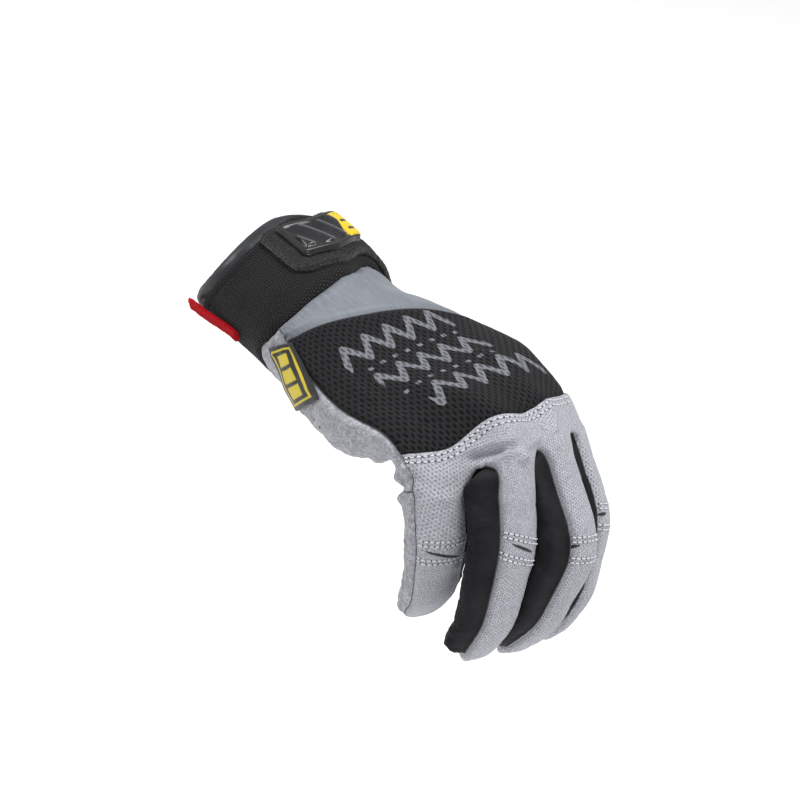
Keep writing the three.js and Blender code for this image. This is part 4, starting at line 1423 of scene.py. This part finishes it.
def hook_finish():
    """Brushed loop tape of the strap."""
    f = Finish("hook_tape", (0.012, 0.012, 0.013), 0.95, 0.08)
    place = f.object_place()
    tuft = f.noise(place, 1100, 5, 0.75)
    f.colour(f.blend(tuft, 0.4, 0.75, (0.002, 0.002, 0.0025), (0.036, 0.036, 0.038)))
    f.bump((tuft, 0.6), (f.noise(place, 350, 3), 0.5))
    return f.material


# The grip's diagonal ridges: how many along it, and how far they lean across it
RIDGE_COUNT = 4.2
RIDGE_LEAN = -1.3


def rubber_finish():
    """Moulded rubber of the grip: matt ground, with painted highlights along the edges of its ridges.
    """
    f = Finish("grip_rubber", (0.016, 0.017, 0.019), 0.3, 0.0, 0.5)
    u, v = f.flat()
    place = f.object_place()
    grain = f.noise(place, 2500, 2)
    across = f.math("FRACT", f.math("MULTIPLY_ADD", v, RIDGE_LEAN, f.math("MULTIPLY", u, RIDGE_COUNT)))
    # crest: a thin band at the edge of each ridge, painted lighter below as a painted highlight
    crest = f.times(
        f.between(across, 0.6, 0.74), f.between(across, 0.84, 0.78),
        f.band(u, 0.095, 0.905, 0.015), f.band(v, 0.16, 0.84, 0.02),
    )
    ground = f.blend(f.noise(place, 120, 3), 0.35, 0.7, (0.006, 0.0065, 0.0075), (0.014, 0.0145, 0.016))
    f.colour(f.mix(crest, ground, (0.085, 0.087, 0.095)))
    f.roughness(f.between(grain, 0.3, 0.7, 0.22, 0.36))
    f.bump((grain, 0.03))
    return f.material


BADGE_BARS = 3


def badge_finish():
    """Yellow rubber plate with plain dark bars."""
    f = Finish("badge_yellow", (0.85, 0.65, 0.02), 0.42)
    u, v = f.flat()
    bars = f.between(f.ripple(v, 1 / BADGE_BARS), 0.55, 0.7)
    bars = f.times(bars, f.band(u, 0.22, 0.78, 0.02), f.band(v, 0.12, 0.88, 0.02))
    f.colour(f.mix(bars, (0.64, 0.47, 0.01), (0.03, 0.03, 0.03)))
    f.bump((bars, 0.15), (f.noise(f.object_place(), 1800, 2), 0.03))
    return f.material


def webbing_finish():
    """Red woven webbing: painted dark red between its threads as shade, with lighter flecks."""
    f = Finish("red_webbing", (0.6, 0.004, 0.01), 0.75, 0.0, 0.1)
    u, v = f.flat()
    x, y, _ = f.lattice(u, v, 0.8, 1.1)
    thread = f.oval(x, y, 0.45, 0.48, 0.1)
    speck = f.noise(f.object_place(), 1800, 3)
    # The gaps between the threads are painted dark red: painted shade
    shade = f.mix(thread, (0.2, 0.002, 0.005), (0.8, 0.005, 0.014))
    f.colour(f.blend(speck, 0.5, 0.8, shade, (0.7, 0.02, 0.03), 0.4))
    f.bump((thread, 0.35), (speck, 0.1))
    return f.material


LABEL_BARS = [(0.16, 0.34), (0.4, 0.6), (0.66, 0.84)]
LABEL_THREADS = 60


def label_finish():
    """Woven label: black ground, a yellow frame and three plain yellow bars."""
    f = Finish("label_print", (0.015, 0.015, 0.016), 0.6, 0.15)
    u, v = f.flat()

    def box(left, right, low, high):
        return f.times(f.band(u, left, right, 0.012), f.band(v, low, high, 0.012))

    marks = f.math("SUBTRACT", box(0.13, 0.87, 0.07, 0.93), box(0.19, 0.81, 0.1, 0.9))
    for low, high in LABEL_BARS:
        marks = f.math("MAXIMUM", marks, box(0.3, 0.7, low, high))
    thread = f.ripple(v, 1 / LABEL_THREADS)
    yellow = f.blend(thread, -1.0, 1.0, (0.5, 0.39, 0.01), (0.7, 0.55, 0.02))
    f.colour(f.mix(marks, (0.012, 0.012, 0.013), yellow))
    f.bump((marks, 0.18), (thread, 0.04), (f.noise(f.object_place(), 1500, 3), 0.08))
    return f.material


def thread_finish(name, colour):
    f = Finish(name, colour, 0.6, 0.2)
    f.bump((f.noise(f.object_place(), 3000, 2), 0.05))
    return f.material


finish = {
    "suede_grey": suede_finish(),
    "panel_grey": panel_finish(),
    "satin_grey": satin_finish(),
    "mesh_black": mesh_finish(),
    "stretch_black": stretch_finish(),
    "knit_black": knit_finish(),
    "lining_black": lining_finish(),
    "hook_tape": hook_finish(),
    "grip_rubber": rubber_finish(),
    "badge_yellow": badge_finish(),
    "red_webbing": webbing_finish(),
    "label_print": label_finish(),
}
fibre = thread_finish("fibre", (0.13, 0.13, 0.137))
light_thread = thread_finish("light_thread", (0.55, 0.56, 0.6))
seam_shade = thread_finish("seam_shade", (0.06, 0.062, 0.07))
# Dark discs and lenses at needle holes, slits and perforations: painted shade in the openings
needle_hole = thread_finish("needle_hole", (0.02, 0.02, 0.024))


def slot_of(name):
    if name.startswith(("palm", "finger_front", "thumb_front")):
        return "suede_grey"
    if name.startswith("fourchette"):
        return "stretch_black"
    return {"back_panel": "mesh_black", "wrist_panel": "satin_grey"}.get(name, "panel_grey")


def trim(piece, slot):
    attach(piece, "root")


def stands_for(piece, node, slot):
    trim(piece, slot)
    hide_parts(node)


panel_places = {}
panel_trees = {}
for name in PANELS:
    piece, place, faces, used = cloth_piece(name, finish[slot_of(name)])
    stands_for(piece, name, slot_of(name))
    panel_places[name] = dict(zip(used.tolist(), place))
    panel_trees[name] = BVHTree.FromPolygons([tuple(p) for p in place], faces.tolist())


# Stitches: radius of the thread, length and pitch of a stitch, and radius of a needle hole. Rows run
# at these distances from the knuckle seam, and on both sides of each middle joint

THREAD = 0.32
STITCH = 1.75
STITCH_PITCH = 2.5
JOINT_PITCH = 2.2
HOLE = 0.42
KNUCKLE_STITCHES = (1.5, 3.6)
JOINT_STITCHES = (3.2, 5.0)

# A stitch's places along it, with height over the cloth and share of the thread's radius
STITCH_PROFILE = [
    (0, -0.18, 0.55), (0.18, 0.1, 0.95), (0.5, 0.2, 1), (0.82, 0.1, 0.95), (1, -0.18, 0.55),
]
HOLE_LIFT = 0.215


def line_points(line, step):
    """Points spaced evenly along a line of points."""
    line = np.asarray(line)
    lengths = np.concatenate([[0], np.cumsum(np.linalg.norm(np.diff(line, axis=0), axis=1))])
    count = max(int(round(lengths[-1] / step)), 1)
    at = np.linspace(0, lengths[-1], count + 1)
    return np.stack([np.interp(at, lengths, line[:, i]) for i in range(3)], axis=1)


def beside(line, panel, offset):
    """A line on a panel, at a distance from the seam line that it follows."""
    tree = panel_trees[panel]
    spots = line_points(base[line], 1.0)
    made = []
    for i, spot in enumerate(spots):
        ahead = unit(spots[min(i + 1, len(spots) - 1)] - spots[max(i - 1, 0)])
        inward = np.cross(nearest(tree, spot)[1], ahead)
        options = [nearest(tree, spot + inward * offset * way) for way in (1, -1)]
        made.append(min(options, key=lambda option: option[2])[0])
    return np.array(made)


class Pile:
    """Points and faces gathered into one piece."""

    def __init__(self):
        self.place = []
        self.faces = []

    def add(self, place, faces):
        start = len(self.place)
        self.place.extend(place)
        self.faces.extend([[start + i for i in face] for face in faces])

    def tube(self, line, radii, normals_up, sides=6):
        """A thread along a line with a radius at each point, closed at both ends."""
        place, faces = [], []
        for i, (spot, radius) in enumerate(zip(line, radii)):
            ahead = unit(line[min(i + 1, len(line) - 1)] - line[max(i - 1, 0)])
            up = unit(normals_up[i] - ahead * ahead.dot(normals_up[i]))
            side = np.cross(ahead, up)
            for j in range(sides):
                angle = 2 * math.pi * j / sides
                place.append(spot + radius * (side * math.cos(angle) + up * math.sin(angle)))
        for i in range(len(line) - 1):
            for j in range(sides):
                a, b = i * sides + j, i * sides + (j + 1) % sides
                faces.append([a, b, b + sides, a + sides])
        faces.append(list(range(sides))[::-1])
        faces.append([(len(line) - 1) * sides + j for j in range(sides)])
        self.add(place, faces)

    def disc(self, centre, normal, radius, sides=8):
        up = unit(normal)
        side = unit(np.cross(up, [0.3, 0.5, 0.81]))
        other = np.cross(up, side)
        turns = [2 * math.pi * j / sides for j in range(sides)]
        ring = [centre + radius * (side * math.cos(t) + other * math.sin(t)) for t in turns]
        self.add(ring, [list(range(sides))])

    def piece(self, name, material, slot):
        trim(mesh_piece(name, self.place, self.faces, None, material, 0), slot)


def sew(threads, holes, line, panel, pitch=STITCH_PITCH):
    """Stitches along a line on a panel, with a dark disc at both ends of each, painted shade in its
    needle hole.
    """
    tree = panel_trees[panel]
    ends = line_points(line, pitch)
    for a, b in zip(ends, ends[1:]):
        along = unit(b - a)
        gap = (np.linalg.norm(b - a) - STITCH) / 2
        spots, ups = [], []
        for share, height, _ in STITCH_PROFILE:
            spot = a + along * (gap + share * STITCH)
            hit, normal, _ = nearest(tree, spot)
            spots.append(hit + normal * height)
            ups.append(normal)
        jitter = rng.uniform(0.9, 1.1)
        threads.tube(spots, [THREAD * jitter * thick for _, _, thick in STITCH_PROFILE], ups)
        for i in (0, -1):
            holes.disc(spots[i] + ups[i] * HOLE_LIFT, ups[i], HOLE)


# The line where two panels meet: closed by a dark cord at the bottom of the seam's valley, a painted
# shadow of the seam's gap
SEAM_SHADOW_RADIUS = 0.3


def make_seam_lines():
    seam_shadows = Pile()
    pairs = sorted({tuple(sorted(set(on))) for on in seam_edges.values() if len(set(on)) == 2})
    for first, second in pairs:
        if seam_kind(first, second) == FLAT_SEAM:
            continue
        names = PANELS[first], PANELS[second]
        for line in seam_line(*names):
            spots = [(panel_places[names[0]][v] + panel_places[names[1]][v]) / 2 for v in line]
            ups = [normals[v] for v in line]
            # A dark tube along the seam: painted shadow of the seam's gap
            seam_shadows.tube(spots, [SEAM_SHADOW_RADIUS] * len(line), ups, 5)
    seam_shadows.piece("seam_lines", seam_shade, "suede_grey")


make_seam_lines()

threads, holes = Pile(), Pile()
for line in seam_line("knuckle_panel", "back_panel"):
    for offset in KNUCKLE_STITCHES:
        sew(threads, holes, beside(line, "knuckle_panel", offset), "knuckle_panel")
for finger in fingers:
    other = "finger_back_" + finger.name
    for line in seam_line("knuckle_panel", other):
        for offset in JOINT_STITCHES:
            for panel in ("knuckle_panel", other):
                sew(threads, holes, beside(line, panel, offset), panel, JOINT_PITCH)

threads.piece("stitches", light_thread, "panel_grey")
holes.piece("needle_holes", needle_hole, "panel_grey")


# Slits over the middle joints: a dark lens across the finger, painted shade in the opening, from pixel
# to pixel in the photograph

SLIT_ENDS = {
    "little": ((425, 551), (459, 556)), "ring": ((512, 544), (532, 552)),
    "middle": ((562, 549), (580, 545)), "index": ((598, 515), (606, 513)),
}
SLIT_HALF = 0.6
SLIT_STEPS = 28
SLIT_LIFT = 0.1


def on_fingers(spot):
    """Nearest place on the back of a finger, with its direction outward."""
    names = ["knuckle_panel"] + ["finger_back_" + finger.name for finger in fingers]
    return min((nearest(panel_trees[name], spot) for name in names), key=lambda found: found[2])


def make_slits():
    slits = Pile()
    for finger in fingers:
        start, end = (seen_at(pixel) for pixel in SLIT_ENDS[finger.name])
        ahead = finger.direction(finger.joints[1])
        upper, lower = [], []
        for i in range(SLIT_STEPS + 1):
            share = 2 * i / SLIT_STEPS - 1
            half = SLIT_HALF * (1 - share * share) ** 0.6 + 0.03
            for side, store in ((-half, upper), (half, lower)):
                spot, normal, _ = on_fingers(lerp(start, end, i / SLIT_STEPS) + ahead * side)
                store.append(spot + normal * SLIT_LIFT)
        count = SLIT_STEPS + 1
        slits.add(upper + lower, [[i, i + 1, count + i + 1, count + i] for i in range(SLIT_STEPS)])
    slits.piece("joint_slits", needle_hole, "panel_grey")


make_slits()


# Perforations in staggered rows at the little-finger side of the palm: radius, angles of the rows,
# number in a row, and where and how far apart they are along the hand

PERFORATION = 0.6
PERFORATION_ROWS = (193, 201, 209, 217)
PERFORATION_COUNT = 7
PERFORATION_START = 2
PERFORATION_PITCH = 4.8
PERFORATION_LIFT = 0.08

# Each perforation is a dark disc: painted shade in the hole
dots = Pile()
for row, degrees in enumerate(PERFORATION_ROWS):
    for i in range(PERFORATION_COUNT):
        x = PERFORATION_START + PERFORATION_PITCH * (i + row % 2 / 2)
        spot, normal, _ = nearest(panel_trees["palm_panel"], hand_point(x, degrees))
        dots.disc(spot + normal * PERFORATION_LIFT, normal, PERFORATION, 12)
dots.piece("perforations", needle_hole, "suede_grey")


# Sheets round the cuff

def sheet_piece(name, node, slot, counts, place, size=(1, 1), closed=False, sharp=60):
    """A sheet with two sides and a rim, in place of a node.

    counts are its rows and columns, place(r, c, outside) gives its points, and size is how far it
    reaches across and along when laid flat.
    """
    rows, cols = counts
    wide = cols if closed else cols - 1
    spots = [place(r, c, side) for side in (True, False) for r in range(rows) for c in range(cols)]
    faces, uv = [], []

    def add(corners):
        faces.append([(layer * rows + r) * cols + c % cols for r, c, layer in corners])
        uv.extend((c, r) for r, c, _ in corners)

    for c in range(wide):
        for r in range(rows - 1):
            add([(r, c, 0), (r + 1, c, 0), (r + 1, c + 1, 0), (r, c + 1, 0)])
            add([(r, c, 1), (r, c + 1, 1), (r + 1, c + 1, 1), (r + 1, c, 1)])
        for r, a, b in ((0, c, c + 1), (rows - 1, c + 1, c)):
            add([(r, a, 0), (r, b, 0), (r, b, 1), (r, a, 1)])
    if not closed:
        for r in range(rows - 1):
            for c, a, b in ((0, r + 1, r), (cols - 1, r, r + 1)):
                add([(a, c, 0), (b, c, 0), (b, c, 1), (a, c, 1)])
    uv = np.array(uv) * (size[0] / wide, size[1] / (rows - 1))
    stands_for(mesh_piece(name, spots, faces, uv, finish[slot], sharp), node, slot)


cuff_top = HAND_ROWS[0].back_out * HAND_LENGTH - SEAM_GAP
cuff_end = cuff_top - CUFF_LENGTH
CUFF_PROUD = 0.5
CUFF_ROWS = 70
CUFF_COLUMNS = 220
CUFF_GIRTH = 205


# The knit's rolled hem at the opening, the groove beside it and the sunk top seam: height in
# millimetres, then place from the end and reach as shares of the cuff. Last, its soft swells' height
CUFF_WAVES = [(0.35, 0.045, 0.05), (-0.35, 0.105, 0.012), (-0.9, 1, 1.3 / CUFF_LENGTH)]
CUFF_SWELL = 0.7


def cuff_height(from_end, degrees):
    turn = radians(degrees)
    soft = noise.noise(Vector((from_end * 3.5, 2.6 * math.cos(turn), 2.6 * math.sin(turn))))
    return CUFF_PROUD + sum(wave(from_end, *row) for row in CUFF_WAVES) + CUFF_SWELL * soft


def make_cuff():
    def place(r, c, outside):
        degrees = 360 * c / CUFF_COLUMNS
        share = r / (CUFF_ROWS - 1)
        x = lerp(cuff_end + slide(HEM_SLIDE, degrees), cuff_top + slide(TOP_SLIDE, degrees), share)
        return hand_point(x, degrees, cuff_height(share, degrees) if outside else -KNIT)

    sheet_piece(
        "cuff_knit", "cuff", "knit_black", (CUFF_ROWS, CUFF_COLUMNS), place,
        (CUFF_GIRTH, CUFF_LENGTH), True, 50,
    )


# Lining: cells along and round it, how far it reaches into the knit, and how far its rim stands out
LINING_ROWS = 26
LINING_COLUMNS = 180
LINING_REACH = 8
LINING_PROUD = 1.9
LINING_ROLL = 0.5


def make_lining():
    def place(r, c, outside):
        degrees = 360 * c / LINING_COLUMNS
        rim, hem = slide(RIM_SLIDE, degrees), slide(HEM_SLIDE, degrees)
        start = cuff_end - CUFF_RIM + rim
        x = lerp(start, cuff_end + hem + LINING_REACH, r / (LINING_ROWS - 1))
        from_rim = (x - start) / (CUFF_RIM - rim + hem)
        grow = LINING_PROUD * smooth(1.4 - from_rim) - KNIT - SEAM_GAP
        if outside:
            grow += wave(from_rim, LINING_ROLL, 0.3, 0.3)
        else:
            grow -= LINING
        return hand_point(x, degrees, grow)

    sheet_piece(
        "cuff_lining_band", "cuff_lining", "lining_black", (LINING_ROWS, LINING_COLUMNS), place,
        (LINING_COLUMNS, LINING_ROWS - 1), True, 50,
    )


make_cuff()
make_lining()

# Closure, as in the CAD: angles round the cuff, shares of the hand's length, the wall, and how much
# of the width the free end loses over how many degrees. The badge sits on this share of the grip's wall
Patch = namedtuple("Patch", "start end low high wall round corner")
STRAP = Patch(114, -30, -0.1, -0.47, 2.2, 0.4, 12)
GRIP = Patch(102, 53, -0.165, -0.43, 2, 0.15, 6)
BADGE_SEAT = 0.75
BADGE = Patch(66, 54, -0.18, -0.4, 1.4, 0, 1)
strap_lift = CUFF_PROUD + TRIM_GAP
grip_lift = strap_lift + STRAP.wall + TRIM_GAP
badge_lift = grip_lift + BADGE_SEAT * GRIP.wall


def patch_spot(patch, u, v):
    """x and angle at shares u along the patch from its free end and v across it."""
    degrees = lerp(patch.start, patch.end, u)
    t = 1 - min((patch.start - degrees) / patch.corner, 1)
    keep = 1 - patch.round * (1 - math.sqrt(max(1 - t * t, 0)))
    middle = (patch.low + patch.high) / 2
    follow = min(slide(TOP_SLIDE, degrees), 0)
    return lerp(middle, lerp(patch.high, patch.low, v), keep) * HAND_LENGTH + follow, degrees


def make_patch(name, node, slot, patch, lift, counts, height):
    def place(r, c, outside):
        u, v = c / (counts[1] - 1), r / (counts[0] - 1)
        x, degrees = patch_spot(patch, u, v)
        return hand_point(x, degrees, lift + (height(u, v) if outside else 0))

    sheet_piece(name, node, slot, counts, place)


def edge_round(u, v, reach_u, reach_v):
    """1 inside a patch, falling off in a quarter round towards its edges."""
    near = min(u / reach_u, (1 - u) / reach_u, v / reach_v, (1 - v) / reach_v, 1)
    return math.sqrt(max(1 - (1 - near) ** 2, 0))


def strap_height(u, v):
    tuft = noise.noise(Vector((u * 260, v * 75, 0.5)))
    swell = noise.noise(Vector((u * 14, v * 4, 2.5)))
    return STRAP.wall * lerp(0.3, 1, edge_round(u, v, 0.012, 0.05)) + 0.34 * tuft + 0.25 * swell


def grip_height(u, v):
    """A rim round the edge, a sunk field, and diagonal ridges that cross it."""
    near = min(u / 0.07, (1 - u) / 0.07, v / 0.12, (1 - v) / 0.12)
    rim = smooth(near * 2.4) * (1 - 0.45 * smooth((near - 0.9) * 3))
    across = (u * RIDGE_COUNT + v * RIDGE_LEAN) % 1.0
    ridge = smooth((across - 0.05) / 0.6) * (1 - smooth((across - 0.78) / 0.1))
    field = smooth((near - 1.2) * 4)
    return GRIP.wall * (0.3 + 0.85 * rim + 0.65 * ridge * field)


def badge_height(u, v):
    return BADGE.wall * lerp(0.3, 1, edge_round(u, v, 0.12, 0.06))


for name, node, slot, patch, lift, counts, height in (
    ("closure_strap_tape", "closure_strap", "hook_tape", STRAP, strap_lift, (60, 240), strap_height),
    ("closure_grip_moulding", "closure_grip", "grip_rubber", GRIP, grip_lift, (80, 110), grip_height),
    ("closure_badge_plate", "closure_badge", "badge_yellow", BADGE, badge_lift, (30, 20), badge_height),
):
    make_patch(name, node, slot, patch, lift, counts, height)


# Fibres that stand off the strap's loop tape: number, half width, and shortest and longest

FIBRES = 8000
FIBRE_HALF = 0.05
FIBRE_LENGTHS = (0.5, 1.5)


def make_fuzz():
    fuzz = Pile()
    for _ in range(FIBRES):
        near_edge = rng.random() < 0.45
        u = rng.random()
        v = rng.choice((rng.uniform(0, 0.05), rng.uniform(0.95, 1))) if near_edge else rng.random()
        if rng.random() < 0.12:
            u, v = rng.uniform(0, 0.012), rng.random()
        x, degrees = patch_spot(STRAP, u, v)
        low = hand_point(x, degrees, strap_lift + strap_height(u, v) * 0.8)
        up = unit(hand_point(x, degrees, strap_lift + 3) - hand_point(x, degrees, strap_lift))
        lean = np.array([rng.gauss(0, 1), rng.gauss(0, 1), rng.gauss(0, 1)])
        tip = low + unit(up + 0.8 * lean) * rng.uniform(*FIBRE_LENGTHS)
        side = unit(np.cross(tip - low, EYE - low)) * FIBRE_HALF
        fuzz.add([low - side, low + side, tip], [[0, 1, 2]])
    fuzz.piece("strap_fibres", fibre, "hook_tape")


make_fuzz()

# Pull loop, as in the CAD
LOOP_START = -0.27 * HAND_LENGTH
LOOP_END = -0.63 * HAND_LENGTH
LOOP_ANGLE = 192
LOOP_REACH = 5
LOOP_WALL = 2.2
LOOP_BOW = 1
LOOP_WIDTH = 9
LOOP_ROWS = 46
LOOP_COLUMNS = 14


def make_loop():
    def place(r, c, outside):
        along = r / (LOOP_ROWS - 1)
        x = lerp(LOOP_END, LOOP_START, along)
        share = c / (LOOP_COLUMNS - 1)
        degrees = lerp(LOOP_ANGLE + LOOP_REACH, LOOP_ANGLE - LOOP_REACH, share)
        bow = LOOP_BOW * smooth(1.3 - 1.3 * along)
        rounded = math.sqrt(max(1 - (2 * share - 1) ** 6, 0))
        fold = math.sqrt(max(1 - max(1 - along / 0.05, 0) ** 2, 0))
        half = LOOP_WALL / 2 * (0.25 + 0.75 * rounded * fold)
        groove = wave(share, 0.35, 0.5, 0.05)
        lump = 0.2 * noise.noise(Vector((along * 16, share * 3, 1.5)))
        middle = strap_lift + LOOP_WALL / 2 + bow
        return hand_point(x, degrees, middle + (half - groove + lump if outside else -half))

    sheet_piece(
        "pull_loop_webbing", "pull_loop", "red_webbing", (LOOP_ROWS, LOOP_COLUMNS), place,
        (LOOP_WIDTH, LOOP_START - LOOP_END), sharp=70,
    )


make_loop()

# Label at the little-finger side: its corners by pixels in the photograph
LABEL_PIXELS = {
    "out_start": (270, 348), "in_start": (293, 343), "out_end": (298, 410), "in_end": (322, 400),
}
LABEL_GAP = 0.45
LABEL_WALL = 0.9
LABEL_ROWS = 56
LABEL_COLUMNS = 30
LABEL_TURNS = 12
LABEL_DROP = 15


def make_label():
    corners = {name: seen_at(pixel) for name, pixel in LABEL_PIXELS.items()}
    carriers = [panel_trees[name] for name in ("palm_panel", "back_panel", "wrist_panel")]
    grid = []
    for r in range(LABEL_ROWS):
        for c in range(LABEL_COLUMNS):
            u, v = r / (LABEL_ROWS - 1), c / (LABEL_COLUMNS - 1)
            outer = lerp(corners["out_start"], corners["out_end"], u)
            spot = lerp(outer, lerp(corners["in_start"], corners["in_end"], u), v)
            up = nearest(surface, spot)[1]
            reach = []
            for tree in carriers:
                hit = tree.ray_cast(Vector(spot + up * LABEL_DROP), Vector(-up))[0]
                if hit is not None:
                    reach.append((np.array(hit) - spot) @ up)
            grid.append((spot, up, max(reach, default=0)))
    heights = np.array([height for _, _, height in grid]).reshape(LABEL_ROWS, LABEL_COLUMNS)
    for _ in range(LABEL_TURNS):
        padded = np.pad(heights, 1, mode="edge")
        near = (padded[:-2, 1:-1] + padded[2:, 1:-1] + padded[1:-1, :-2] + padded[1:-1, 2:]) / 4
        heights = np.maximum(heights, near)

    def place(r, c, outside):
        spot, up, _ = grid[r * LABEL_COLUMNS + c]
        edge = edge_round(r / (LABEL_ROWS - 1), c / (LABEL_COLUMNS - 1), 0.03, 0.05)
        wall = LABEL_WALL * lerp(0.45, 1, edge) if outside else 0
        return spot + up * (heights[r, c] + LABEL_GAP + wall)

    sheet_piece("side_label_tag", "side_label", "label_print", (LABEL_ROWS, LABEL_COLUMNS), place)


make_label()


# Floor, light and picture

FLOOR = -0.32
FLOOR_HALF = 4


def make_floor():
    mesh = bpy.data.meshes.new("floor")
    corners = [(x * FLOOR_HALF, y * FLOOR_HALF, FLOOR) for x, y in ((-1, -1), (1, -1), (1, 1), (-1, 1))]
    mesh.from_pydata(corners, [], [(0, 1, 2, 3)])
    pale = bpy.data.materials.new("floor")
    pale.use_nodes = True
    shader = pale.node_tree.nodes["Principled BSDF"]
    shader.inputs["Base Color"].default_value = (0.97, 0.97, 0.97, 1)
    shader.inputs["Roughness"].default_value = 0.9
    mesh.materials.append(pale)
    floor = add_object("floor", mesh)


def make_light(name, place, size, power):
    data = bpy.data.lights.new(name, "AREA")
    data.shape = "DISK"
    data.size = size
    data.energy = power
    light = add_object(name, data)
    light.location = place
    aim = Vector(CAMERA_TARGET) * MM - Vector(place)
    light.rotation_mode = "QUATERNION"
    light.rotation_quaternion = aim.to_track_quat("-Z", "Y")


def make_world():
    world = bpy.data.worlds.new("studio")
    world.use_nodes = True
    sky = world.node_tree.nodes["Background"]
    sky.inputs["Color"].default_value = (1, 1, 1, 1)
    sky.inputs["Strength"].default_value = 0.5
    bpy.context.scene.world = world
    bpy.context.scene.view_settings.view_transform = "Standard"


make_floor()
make_world()
make_light("key", (0.25, 0.35, 1.35), 0.8, 21)
make_light("front", (1.2, -0.7, 0.3), 0.7, 6)
make_light("rim", (-0.9, -0.5, 0.8), 0.6, 8)
make_camera()
